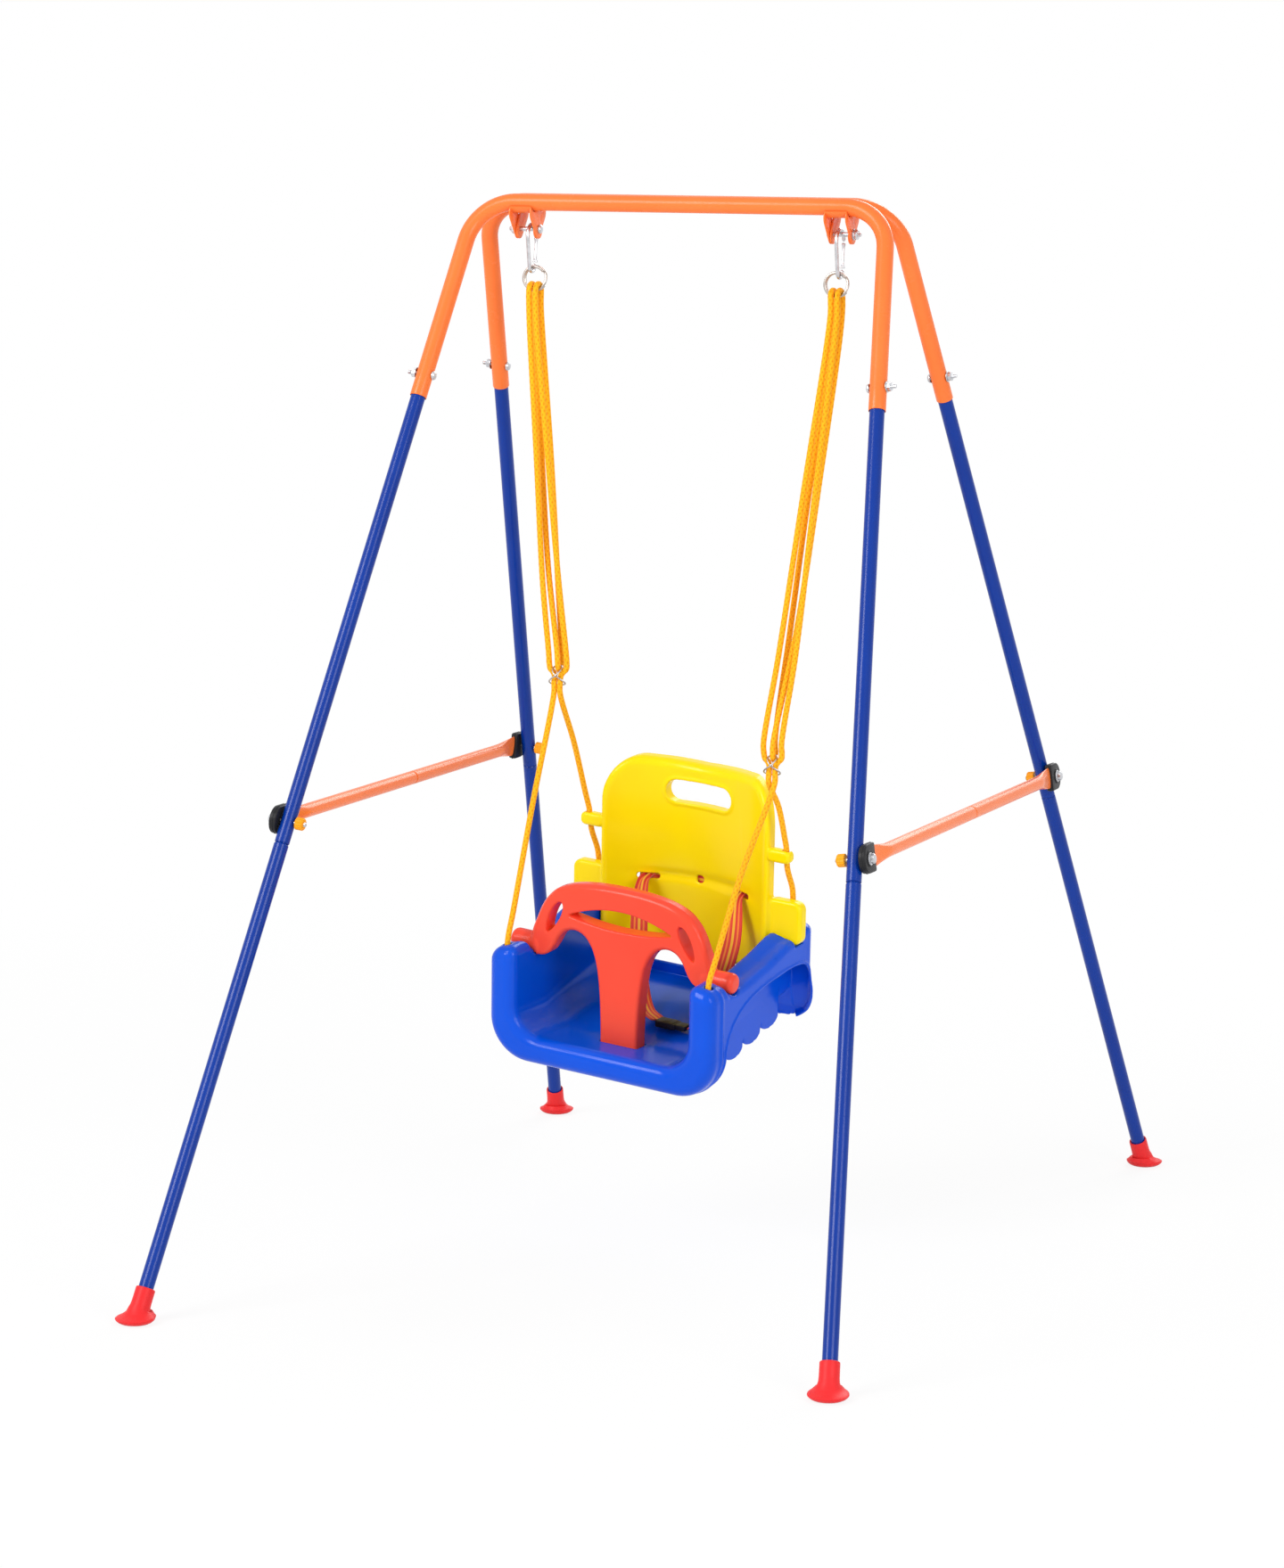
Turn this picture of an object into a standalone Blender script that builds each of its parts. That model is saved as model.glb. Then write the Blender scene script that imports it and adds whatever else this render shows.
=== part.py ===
"""Toddler swing set: a folding tube frame with a bucket seat hung on two ropes.

Metres, +Z up. The top bars run along X, and -Y is the front, where the child faces.
The origin is on the ground under the middle of the bars.
"""

import math

import bmesh
import bpy
import numpy as np
from mathutils import Matrix, Vector

# Frame: axis lines of the tubes
BAR_HEIGHT = 1.360
BAR_HALF_GAP = 0.015
CORNER_HALF_SPAN = 0.281
FOOT_HALF_WIDTH = 0.4512
FOOT_HALF_DEPTH = 0.6735
BEND_RADIUS = 0.062
BRACE_HEIGHT = 0.589
SEAM_HEIGHT = 0.563
SLEEVE_END_HEIGHT = 1.112
JOINT_BOLT_HEIGHT = 1.140

# Tubes
SLEEVE_RADIUS = 0.011
SLEEVE_BORE = 0.0101
LEG_RADIUS = 0.0095
BRACE_RADIUS = 0.009
TUBE_WALL = 0.0012
GAP = 0.0003
SIDES = 12

# Fasteners
BOLT_RADIUS = 0.003
BOLT_HOLE_RADIUS = 0.0037

# Hangers
HANGER_X = 0.216
HANGER_BOLT_HEIGHT = 1.325
HANGER_HALF_WIDTH = 0.0155
PLATE = 0.002

# Swing: where the carabiners, rings and adjusters hang
CARABINER_X = (-0.2105, 0.2135)
RING_X = (-0.2060, 0.2095)
RING_HEIGHT = 1.2613
ROPE_RADIUS = 0.0038
ADJUSTER_AT = (Vector((-0.1727, 0.0, 0.742)), Vector((0.1290, 0.0, 0.640)))

# Seat: the middle of the two post tops, and how the seat hangs
SEAT_AT = Vector((-0.0599, -0.100, 0.3726))
SEAT_YAW = math.radians(-9.8)
SEAT_PITCH = math.radians(7.5)
SEAT_ROLL = math.radians(5.2)
ROPE_HOLE_X = 0.153
ROPE_HOLE_RADIUS = 0.0053
REAR_HOLE_X = 0.150
REAR_HOLE_Y = 0.238
REAR_HOLE_RADIUS = 0.0066
BAR_PIN_Y = 0.042
BAR_PIN_Z = 0.002
BAR_PIN_RADIUS = 0.014
BACKREST_AT = Vector((0.0, 0.184, -0.050))
PANEL_HALF = 129.0
PANEL_DISH = 50.0
MM = 0.001

SIDE_NAMES = (("left", -1.0), ("right", 1.0))
END_NAMES = (("front", -1.0), ("rear", 1.0))


# Scene and materials

for old in list(bpy.data.objects):
    bpy.data.objects.remove(old, do_unlink=True)


def finish(name, colour, roughness, metallic=0.0):
    """A plain Principled material."""
    made = bpy.data.materials.new(name)
    made.use_nodes = True
    shader = made.node_tree.nodes["Principled BSDF"]
    shader.inputs["Base Color"].default_value = (*colour, 1.0)
    shader.inputs["Roughness"].default_value = roughness
    shader.inputs["Metallic"].default_value = metallic
    return made


ORANGE = finish("orange_paint", (1.0, 0.20, 0.02), 0.3)
BLUE_TUBE = finish("blue_paint", (0.0, 0.04, 0.40), 0.25)
RED_FOOT = finish("red_foot", (0.95, 0.03, 0.03), 0.4)
BLACK = finish("black_plastic", (0.02, 0.02, 0.02), 0.45)
AMBER = finish("amber_plastic", (0.98, 0.42, 0.01), 0.4)
STEEL = finish("zinc_steel", (0.72, 0.72, 0.74), 0.3, 1.0)
ROPE = finish("amber_rope", (0.98, 0.40, 0.01), 0.8)
BLUE_SEAT = finish("blue_plastic", (0.0, 0.06, 0.72), 0.25)
YELLOW = finish("yellow_plastic", (1.0, 0.72, 0.01), 0.3)
RED_BAR = finish("red_plastic", (1.0, 0.06, 0.04), 0.3)
WEBBING = finish("red_webbing", (0.85, 0.10, 0.02), 0.8)


# Mesh helpers

def loft(name, rings, closed=False):
    """Quads between rings of points. Open ends are capped; closed joins last to first."""
    rings = [np.asarray(ring, float) for ring in rings]
    count = len(rings[0])
    verts = np.concatenate(rings)
    faces = []
    spans = len(rings) if closed else len(rings) - 1
    for j in range(spans):
        a = j * count
        b = ((j + 1) % len(rings)) * count
        for i in range(count):
            k = (i + 1) % count
            faces.append((a + i, a + k, b + k, b + i))
    if not closed:
        faces.append(tuple(range(count))[::-1])
        last = (len(rings) - 1) * count
        faces.append(tuple(last + i for i in range(count)))
    mesh = bpy.data.meshes.new(name)
    mesh.from_pydata(verts.tolist(), [], faces)
    return outward(mesh)


def outward(mesh, sharp=35.0):
    """Turns the faces outwards and shades the round parts smooth."""
    work = bmesh.new()
    work.from_mesh(mesh)
    bmesh.ops.remove_doubles(work, verts=work.verts, dist=1e-6)
    bmesh.ops.dissolve_degenerate(work, edges=work.edges, dist=1e-6)
    bmesh.ops.recalc_face_normals(work, faces=work.faces)
    work.to_mesh(mesh)
    work.free()
    mesh.shade_smooth()
    mesh.set_sharp_from_angle(angle=math.radians(sharp))
    return mesh


def arc(centre, radius, start, end, steps):
    """Points along an arc in degrees, with both ends."""
    turn = np.radians(np.linspace(start, end, steps + 1))
    return [(centre[0] + radius * math.cos(t), centre[1] + radius * math.sin(t)) for t in turn]


def turned(name, profile, sides=SIDES, hexes=()):
    """Turns a profile of (radius, height) about Z. It runs from axis to axis, or closes on itself.

    Rings whose index is in hexes are hexagons across that radius's corners.
    """
    turn = 2.0 * math.pi * np.arange(sides) / sides
    rings = []
    for index, (radius, height) in enumerate(profile):
        reach = np.full(sides, radius)
        if index in hexes:
            flat = (turn + math.pi / 6) % (math.pi / 3) - math.pi / 6
            reach = radius * math.cos(math.pi / 6) / np.cos(flat)
        rings.append(np.stack([reach * np.cos(turn), reach * np.sin(turn), np.full(sides, height)], 1))
    on_axis = profile[0][0] == 0.0
    return loft(name, rings, closed=not on_axis)


def axes(z_axis, x_axis):
    """Rotation whose Z and X columns are the given directions, made square."""
    z = Vector(z_axis).normalized()
    y = z.cross(Vector(x_axis)).normalized()
    return Matrix((y.cross(z), y, z)).transposed()


def place(name, mesh, material, spot=(0.0, 0.0, 0.0), turn=None, parent=None):
    """A new object with its own location, rotation and parent."""
    made = bpy.data.objects.new(name, mesh)
    bpy.context.scene.collection.objects.link(made)
    made.location = spot
    if turn is not None:
        made.rotation_euler = turn.to_euler()
    made.parent = parent
    if material is not None:
        if not mesh.materials:
            mesh.materials.append(material)
    return made


def guide(name, spot, turn=None, parent=None):
    """An empty that carries pieces."""
    made = bpy.data.objects.new(name, None)
    bpy.context.scene.collection.objects.link(made)
    made.location = spot
    if turn is not None:
        made.rotation_euler = turn.to_euler()
    made.parent = parent
    return made


def cutter(name, mesh, spot=(0.0, 0.0, 0.0), turn=None, parent=None):
    """A hidden tool for a Boolean."""
    made = place(name, mesh, None, spot, turn, parent)
    made.hide_render = True
    made.display_type = "WIRE"
    return made


def boolean(body, tool, operation="DIFFERENCE", solver="EXACT"):
    """Adds a Boolean to the body."""
    step = body.modifiers.new(tool.name, "BOOLEAN")
    step.operation = operation
    step.solver = solver
    step.object = tool


def rod(name, radius, start, end, sides=10):
    """A plain cylinder mesh along Z."""
    return turned(name, [(0.0, start), (radius, start), (radius, end), (0.0, end)], sides)


def prism(name, outline, low, high, axis="x"):
    """A closed outline pushed straight from low to high along one axis."""
    flat = np.asarray(outline, float)
    rings = []
    for level in (low, high):
        fill = np.full(len(flat), level)
        order = {"x": (fill, flat[:, 0], flat[:, 1]), "y": (flat[:, 0], fill, flat[:, 1])}[axis]
        rings.append(np.stack(order, 1))
    return loft(name, rings)


def smooth_path(points, count, bend_share=0.0):
    """A smooth curve through hand-picked points. A share of its points goes where it bends."""
    knots = np.asarray(points, float)
    reach = np.concatenate([[0.0], np.cumsum(np.linalg.norm(np.diff(knots, axis=0), axis=1) ** 0.5)])
    steps = np.diff(reach)[:, None]
    pace = np.diff(knots, axis=0) / steps
    slopes = np.zeros_like(knots)
    slopes[1:-1] = (pace[:-1] * steps[1:] + pace[1:] * steps[:-1]) / (steps[1:] + steps[:-1])
    slopes[0] = pace[0]
    slopes[-1] = pace[-1]
    fine = np.linspace(0.0, reach[-1], 60 * len(knots))
    leg = np.clip(np.searchsorted(reach, fine, side="right") - 1, 0, len(knots) - 2)
    step = steps[leg]
    u = (fine - reach[leg])[:, None] / step
    curve = (
        (2 * u**3 - 3 * u**2 + 1) * knots[leg]
        + (u**3 - 2 * u**2 + u) * step * slopes[leg]
        + (3 * u**2 - 2 * u**3) * knots[leg + 1]
        + (u**3 - u**2) * step * slopes[leg + 1]
    )
    run = np.diff(curve, axis=0)
    length = np.linalg.norm(run, axis=1)
    run /= length[:, None]
    bend = np.concatenate([[0.0], np.linalg.norm(np.diff(run, axis=0), axis=1)])
    share = (1.0 - bend_share) * length / length.sum() + bend_share * bend / bend.sum()
    share = np.concatenate([[0.0], np.cumsum(share)])
    even = np.linspace(0.0, share[-1], count)
    return np.stack([np.interp(even, share, curve[:, k]) for k in range(3)], 1)


def sweep(name, path, radius, sides, closed=False, bore=None):
    """A round tube along a path. Its frame turns as little as it can."""
    path = np.asarray(path, float)
    count = len(path)
    if closed:
        ahead = np.roll(path, -1, axis=0) - np.roll(path, 1, axis=0)
    else:
        ahead = np.gradient(path, axis=0)
    ahead /= np.linalg.norm(ahead, axis=1)[:, None]
    side = np.cross(ahead[0], (0.0, 0.0, 1.0))
    if np.linalg.norm(side) < 0.1:
        side = np.cross(ahead[0], (0.0, 1.0, 0.0))
    radii = np.broadcast_to(np.asarray(radius, float), (count,))
    sides_list = []
    for j in range(count):
        side = side - ahead[j] * side.dot(ahead[j])
        side /= np.linalg.norm(side)
        sides_list.append(side)
    sides_list = np.array(sides_list)
    if closed:
        end = sides_list[-1] - ahead[0] * sides_list[-1].dot(ahead[0])
        end /= np.linalg.norm(end)
        miss = math.atan2(np.cross(sides_list[0], end).dot(ahead[0]), sides_list[0].dot(end))
        miss = (miss + math.pi / sides) % (2 * math.pi / sides) - math.pi / sides
    else:
        miss = 0.0
    turn = 2.0 * math.pi * np.arange(sides) / sides
    rings = []
    for j in range(count):
        other = np.cross(ahead[j], sides_list[j])
        spin = turn - miss * j / count
        spread = np.outer(np.cos(spin), sides_list[j]) + np.outer(np.sin(spin), other)
        rings.append(path[j] + radii[j] * spread)
    if closed:
        return close_ring(name, rings, sides_list, ahead, sides)
    if bore is not None:
        inner = []
        for j in range(count):
            inner.append(path[j] + (rings[j] - path[j]) * (bore / radii[j]))
        return loft(name, rings + inner[::-1], closed=True)
    return loft(name, rings)


def close_ring(name, rings, sides_list, ahead, sides):
    """Joins the last ring of a loop to its first at the shift that twists least."""
    first = rings[0]
    last = rings[-1]
    best = min(range(sides), key=lambda s: np.linalg.norm(np.roll(first, -s, axis=0) - last))
    count = len(rings)
    verts = np.concatenate(rings)
    faces = []
    for j in range(count):
        a = j * sides
        b = ((j + 1) % count) * sides
        shift = best if j == count - 1 else 0
        for i in range(sides):
            k = (i + 1) % sides
            faces.append((a + i, a + k, b + (k + shift) % sides, b + (i + shift) % sides))
    mesh = bpy.data.meshes.new(name)
    mesh.from_pydata(verts.tolist(), [], faces)
    return outward(mesh)


# Leg frames: Z runs up the leg, X points outwards, square to the side of the frame

def leg_line(side, end):
    """Foot point and upward direction of one leg."""
    foot = Vector((side * FOOT_HALF_WIDTH, end * FOOT_HALF_DEPTH, 0.0))
    top = Vector((side * CORNER_HALF_SPAN, end * BAR_HALF_GAP, BAR_HEIGHT))
    return foot, (top - foot).normalized()


def side_normal(side):
    """Outward normal of the plane that holds both legs of a side."""
    front = leg_line(side, -1.0)[1]
    rear = leg_line(side, 1.0)[1]
    normal = front.cross(rear).normalized()
    return normal if normal.x * side > 0 else -normal


RISE = leg_line(1.0, 1.0)[1].z
CORNER_ALONG = BAR_HEIGHT / RISE
SEAM_ALONG = SEAM_HEIGHT / RISE
BRACE_ALONG = BRACE_HEIGHT / RISE
SLEEVE_END_ALONG = SLEEVE_END_HEIGHT / RISE
JOINT_ALONG = JOINT_BOLT_HEIGHT / RISE

legs = {}
for side_name, side in SIDE_NAMES:
    for end_name, end in END_NAMES:
        foot, up = leg_line(side, end)
        legs[end_name, side_name] = guide(
            f"{end_name}_{side_name}_leg_axis", foot, axes(up, side_normal(side))
        )


def bolt_hole(name, along, parent):
    """A cutter across a leg, square to the side of the frame."""
    mesh = rod(name, BOLT_HOLE_RADIUS, -0.03, 0.03, 6)
    return cutter(name, mesh, (0.0, 0.0, along), Matrix.Rotation(math.pi / 2, 3, "Y"), parent)


# Top bars: one bent tube each, whose ends are the sleeves of its two upper legs

def bar_path(end):
    """Centre line from one sleeve end, round both bends, to the other."""
    points = []
    for side in (-1.0, 1.0):
        foot, up = leg_line(side, end)
        corner = foot + up * CORNER_ALONG
        inward = Vector((-side, 0.0, 0.0))
        down = -up
        half = math.acos(down.dot(inward)) / 2.0
        trim = BEND_RADIUS / math.tan(half)
        centre = corner + (down + inward).normalized() * (BEND_RADIUS / math.sin(half))
        start = corner + down * trim - centre
        finish_at = corner + inward * trim - centre
        sweep_angle = math.pi - 2.0 * half
        stretch = [foot + up * SLEEVE_END_ALONG]
        for k in range(7):
            part = k / 6.0
            stretch.append(
                centre
                + start * (math.sin((1 - part) * sweep_angle) / math.sin(sweep_angle))
                + finish_at * (math.sin(part * sweep_angle) / math.sin(sweep_angle))
            )
        points += stretch if side < 0 else stretch[::-1]
    return [tuple(p) for p in points]


for end_name, end in END_NAMES:
    mesh = sweep(f"{end_name}_top_bar", bar_path(end), SLEEVE_RADIUS, SIDES, bore=SLEEVE_BORE)
    bar = place(f"{end_name}_top_bar", mesh, ORANGE)
    for side_name, side in SIDE_NAMES:
        boolean(bar, bolt_hole(f"{end_name}_{side_name}_sleeve_hole", JOINT_ALONG, legs[end_name, side_name]))


# Legs: an upper tube in the sleeve, and a lower tube whose swaged end plugs into it

SWAGE_RADIUS = 0.0080
UPPER_TOP = JOINT_ALONG + 0.022
SWAGE_TOP = SEAM_ALONG + 0.060
TUBE_FOOT = 0.0200

upper_profile = [
    (LEG_RADIUS, UPPER_TOP),
    (LEG_RADIUS, SEAM_ALONG + GAP),
    (LEG_RADIUS - TUBE_WALL, SEAM_ALONG + GAP),
    (LEG_RADIUS - TUBE_WALL, UPPER_TOP),
]
lower_profile = [
    (SWAGE_RADIUS, SWAGE_TOP),
    (SWAGE_RADIUS, SEAM_ALONG),
    (LEG_RADIUS, SEAM_ALONG - 0.0015),
    (LEG_RADIUS, TUBE_FOOT),
    (LEG_RADIUS - TUBE_WALL, TUBE_FOOT),
    (LEG_RADIUS - TUBE_WALL, SEAM_ALONG - 0.0035),
    (SWAGE_RADIUS - TUBE_WALL, SEAM_ALONG - 0.0010),
    (SWAGE_RADIUS - TUBE_WALL, SWAGE_TOP),
]

# Feet: a collar on the leg over a wide rim, whose rounded underside ends in a flat
FOOT_COLLAR_RADIUS = 0.0122
FOOT_RIM_RADIUS = 0.0245
FOOT_FLAT_RADIUS = 0.0150
FOOT_BORE = LEG_RADIUS + GAP
FOOT_TOP = 0.0450


def foot_rings(end_name, side_name):
    """Rings down the bore and over the collar, square to the leg, then level ones down to the ground."""
    world = np.array(legs[end_name, side_name].rotation_euler.to_matrix())
    turn = 2.0 * math.pi * np.arange(SIDES) / SIDES
    rings = []
    for radius, along in (
        (FOOT_BORE, TUBE_FOOT - GAP), (FOOT_BORE, FOOT_TOP), (FOOT_COLLAR_RADIUS, FOOT_TOP),
        (FOOT_COLLAR_RADIUS, 0.0240), (0.0140, 0.0175),
    ):
        ring = np.stack([radius * np.cos(turn), radius * np.sin(turn), np.full(SIDES, along)], 1)
        rings.append(ring @ world.T)
    spread = rings[-1] - rings[-1].mean(0)
    heading = np.arctan2(spread[:, 1], spread[:, 0])
    for radius, height in (
        (FOOT_RIM_RADIUS, 0.0078), (FOOT_RIM_RADIUS + 0.0004, 0.0062),
        (0.0205, 0.0020), (FOOT_FLAT_RADIUS, 0.0),
    ):
        level = np.full(SIDES, height)
        rings.append(np.stack([radius * np.cos(heading), radius * np.sin(heading), level], 1))
    return rings


# Joint bolts: a domed head inside and a nut with a long cap outside, through sleeve and tube
def cross_bolt(name, inner, outer, cap_long):
    """A bolt along local Z whose faces clear the tube by a gap on both sides."""
    profile = [
        (0.0, -inner - 0.0042),
        (0.0044, -inner - 0.0028),
        (0.0056, -inner),
        (BOLT_RADIUS, -inner),
        (BOLT_RADIUS, outer),
        (0.0062, outer),
        (0.0058, outer + 0.0012),
        (0.0058, outer + 0.0062),
        (0.0034, outer + 0.0066),
        (0.0, outer + cap_long),
    ]
    return turned(name, profile, 12, hexes=(6, 7))


across = Matrix.Rotation(math.pi / 2, 3, "Y")
for side_name, side in SIDE_NAMES:
    for end_name, end in END_NAMES:
        axis = legs[end_name, side_name]
        tail = f"{end_name}_{side_name}"
        upper = place(f"upper_leg_{tail}", turned("upper_leg", upper_profile), BLUE_TUBE, parent=axis)
        lower = place(f"lower_leg_{tail}", turned("lower_leg", lower_profile), BLUE_TUBE, parent=axis)
        boolean(upper, bolt_hole(f"{tail}_joint_hole", JOINT_ALONG, axis))
        boolean(upper, bolt_hole(f"{tail}_brace_hole", BRACE_ALONG, axis))
        boolean(lower, bolt_hole(f"{tail}_plug_hole", BRACE_ALONG, axis))
        place(f"foot_{tail}", loft("foot", foot_rings(end_name, side_name)), RED_FOOT, axis.location)
        clear = SLEEVE_RADIUS + GAP
        place(
            f"joint_bolt_{tail}", cross_bolt("joint_bolt", clear, clear, 0.0125), STEEL,
            (0.0, 0.0, JOINT_ALONG), across, axis,
        )


# Hanger brackets: two ears each, joined by a saddle under the bar. The rear one nests in the front one.

BAR_RELIEF = 0.0122
LOBE_RADIUS = 0.0130
TIP_RADIUS = 0.0105


def ear_outline(end):
    """Hull of the lobe under the bar and the tip round the bolt, in Y and Z."""
    lobe = np.array(((end * 0.0155), BAR_HEIGHT - 0.0135))
    tip = np.array((0.0, HANGER_BOLT_HEIGHT - 0.0020))
    gap = tip - lobe
    aim = math.degrees(math.atan2(gap[1], gap[0]))
    lean = math.degrees(math.asin((LOBE_RADIUS - TIP_RADIUS) / np.linalg.norm(gap)))
    ends = arc(tip, TIP_RADIUS, aim - 90 + lean, aim + 90 - lean, 5)
    ends += arc(lobe, LOBE_RADIUS, aim + 90 - lean, aim + 270 + lean, 7)
    return ends


def saddle_outline(end):
    """A strip that hugs the underside of the bar."""
    bar_axis = (end * BAR_HALF_GAP, BAR_HEIGHT)
    outer = arc(bar_axis, BAR_RELIEF + PLATE, 205, 335, 6)
    inner = arc(bar_axis, BAR_RELIEF, 335, 205, 6)
    return outer + inner


for side_name, side in SIDE_NAMES:
    centre = Vector((side * HANGER_X, 0.0, 0.0))
    for end_name, end in END_NAMES:
        half = HANGER_HALF_WIDTH if end < 0 else HANGER_HALF_WIDTH - PLATE - GAP
        name = f"hanger_{end_name}_{side_name}"
        bracket = place(name, prism(name, saddle_outline(end), -half + 0.0004, half - 0.0004), ORANGE, centre)
        for label, low in (("inner", -half), ("outer", half - PLATE)):
            ear = prism(f"{name}_{label}_ear", ear_outline(end), low, low + PLATE)
            boolean(bracket, cutter(f"{name}_{label}_ear", ear, centre), "UNION")
        relief = rod(f"{name}_bar_relief", BAR_RELIEF, -0.03, 0.03, 16)
        at = centre + Vector((0.0, end * BAR_HALF_GAP, BAR_HEIGHT))
        boolean(bracket, cutter(f"{name}_bar_relief", relief, at, across))
        hole = rod(f"{name}_bolt_hole", BOLT_HOLE_RADIUS, -0.03, 0.03, 6)
        at = centre + Vector((0.0, 0.0, HANGER_BOLT_HEIGHT))
        boolean(bracket, cutter(f"{name}_bolt_hole", hole, at, across))
    outward_turn = across if side > 0 else Matrix.Rotation(-math.pi / 2, 3, "Y")
    place(
        f"hanger_bolt_{side_name}",
        cross_bolt("hanger_bolt", HANGER_HALF_WIDTH + GAP, HANGER_HALF_WIDTH + GAP, 0.0100),
        STEEL, (side * HANGER_X, 0.0, HANGER_BOLT_HEIGHT), outward_turn,
    )


# Side braces: two halves plugged together, flat ends held outside the legs in black caps

CAP_INNER = LEG_RADIUS + 0.0008
CAP_THICK = 0.0090
BRACE_OFFSET = CAP_INNER + CAP_THICK / 2.0
CAP_HALF_HEIGHT = 0.0178
FLAT_HALF = 0.0138
FLAT_THICK = 0.0015
BRACE_SEAM_Y = 0.020
PLUG = 0.055


def brace_section(width, height, y, count=SIDES):
    """An oval section of the brace tube."""
    turn = 2.0 * math.pi * np.arange(count) / count
    return np.stack([width * np.cos(turn), np.full(count, y), height * np.sin(turn)], 1)


def brace_half(name, bolt_y, seam_y, plug_to=None):
    """Round tube that flattens towards its bolted end. A plug is a swaged, narrower end."""
    inward = math.copysign(1.0, seam_y - bolt_y)
    stations = [
        (0.0016, FLAT_HALF, bolt_y - inward * 0.0110),
        (0.0016, FLAT_HALF, bolt_y + inward * 0.0210),
        (0.0052, 0.0116, bolt_y + inward * 0.0430),
        (BRACE_RADIUS, BRACE_RADIUS, bolt_y + inward * 0.0800),
        (BRACE_RADIUS, BRACE_RADIUS, seam_y),
    ]
    if plug_to is not None:
        slim = BRACE_RADIUS - TUBE_WALL - GAP
        stations.append((slim, slim, seam_y + inward * 0.0015))
        stations.append((slim, slim, plug_to))
    outer = [brace_section(w, h, y) for w, h, y in stations]
    inner = [brace_section(max(w - TUBE_WALL, 0.0004), h - TUBE_WALL, y) for w, h, y in stations]
    return loft(name, outer + inner[::-1], closed=True)


def cap_outline(bolt_y, inward):
    """The D outline of a brace cap, in Y and Z."""
    round_end = arc((0.0, 0.0), CAP_HALF_HEIGHT, 90, 270, 8)
    points = [(0.0210, -CAP_HALF_HEIGHT), (0.0210, CAP_HALF_HEIGHT)]
    return [(bolt_y + inward * y, z) for y, z in round_end + points]


for side_name, side in SIDE_NAMES:
    normal = side_normal(side)
    front_foot, front_up = leg_line(side, -1.0)
    bolt_front = front_foot + front_up * BRACE_ALONG
    bolt_reach = abs(bolt_front.y)
    middle = Vector((bolt_front.x, 0.0, bolt_front.z))
    turn = Matrix((normal, Vector((0.0, 1.0, 0.0)), normal.cross(Vector((0.0, 1.0, 0.0))))).transposed()
    if turn.determinant() < 0:
        turn = Matrix((normal, Vector((0.0, -1.0, 0.0)), normal.cross(Vector((0.0, -1.0, 0.0))))).transposed()
    rail = guide(f"brace_axis_{side_name}", middle, turn)
    flip = 1.0 if turn.col[1].y > 0 else -1.0
    lift = Vector((BRACE_OFFSET, 0.0, 0.0))
    for end_name, end in END_NAMES:
        tail = f"{end_name}_{side_name}"
        bolt_y = end * flip * bolt_reach
        inward = -math.copysign(1.0, bolt_y)
        seam = flip * BRACE_SEAM_Y
        if end < 0:
            mesh = brace_half("brace", bolt_y, seam)
        else:
            start = seam + flip * GAP
            mesh = brace_half("brace", bolt_y, start + flip * 0.0015, seam - flip * PLUG)
        half = place(f"brace_{tail}", mesh, ORANGE, lift, parent=rail)
        drill = rod(f"brace_{tail}_drill", BOLT_HOLE_RADIUS, -0.02, 0.02, 6)
        boolean(half, cutter(f"brace_{tail}_drill", drill, lift + Vector((0.0, bolt_y, 0.0)), across, rail))

        outline = cap_outline(bolt_y, inward)
        cap = prism("brace_cap", outline, CAP_INNER, CAP_INNER + CAP_THICK)
        cap = place(f"brace_cap_{tail}", cap, BLACK, parent=rail)
        pocket = [
            (bolt_y - inward * 0.0125, -FLAT_HALF - 0.0006), (bolt_y + inward * 0.03, -FLAT_HALF - 0.0006),
            (bolt_y + inward * 0.03, FLAT_HALF + 0.0006), (bolt_y - inward * 0.0125, FLAT_HALF + 0.0006),
        ]
        slot = prism(f"cap_{tail}_pocket", pocket, BRACE_OFFSET - 0.0020, BRACE_OFFSET + 0.0020)
        boolean(cap, cutter(f"cap_{tail}_pocket", slot, parent=rail))
        drill = rod(f"cap_{tail}_drill", BOLT_HOLE_RADIUS, -0.02, 0.02, 6)
        boolean(cap, cutter(f"cap_{tail}_drill", drill, lift + Vector((0.0, bolt_y, 0.0)), across, rail))

        outer = CAP_INNER + CAP_THICK + GAP
        inner = LEG_RADIUS + GAP
        shaft = [
            (0.0, outer + 0.0072), (0.0034, outer + 0.0064), (0.0058, outer + 0.0048),
            (0.0058, outer + 0.0012), (0.0068, outer), (BOLT_RADIUS, outer),
            (BOLT_RADIUS, -inner - 0.0135), (0.0, -inner - 0.0140),
        ]
        place(
            f"brace_bolt_{tail}", turned("brace_bolt", shaft, 12, hexes=(2, 3)), STEEL,
            (0.0, bolt_y, 0.0), across, rail,
        )
        nut = [
            (0.0088, -inner), (0.0080, -inner - 0.0016), (0.0080, -inner - 0.0106),
            (0.0066, -inner - 0.0120), (BOLT_HOLE_RADIUS, -inner - 0.0120), (BOLT_HOLE_RADIUS, -inner),
        ]
        place(f"cap_nut_{tail}", turned("cap_nut", nut), AMBER, (0.0, bolt_y, 0.0), across, rail)


# Carabiners: a pear-shaped wire hook in the swing's plane, wide end up, with a sprung gate at the back

WIRE = 0.0025
TOP_WIRE_Z = HANGER_BOLT_HEIGHT + BOLT_RADIUS + 0.0004 + WIRE
BOTTOM_WIRE_Z = 1.2700
HOOK_TOP_RADIUS = 0.0145
HOOK_FOOT_RADIUS = 0.0088
GATE_FOOT = (0.0100, 1.2830)
GATE_NOSE = (0.0143, 1.3140)


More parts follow.
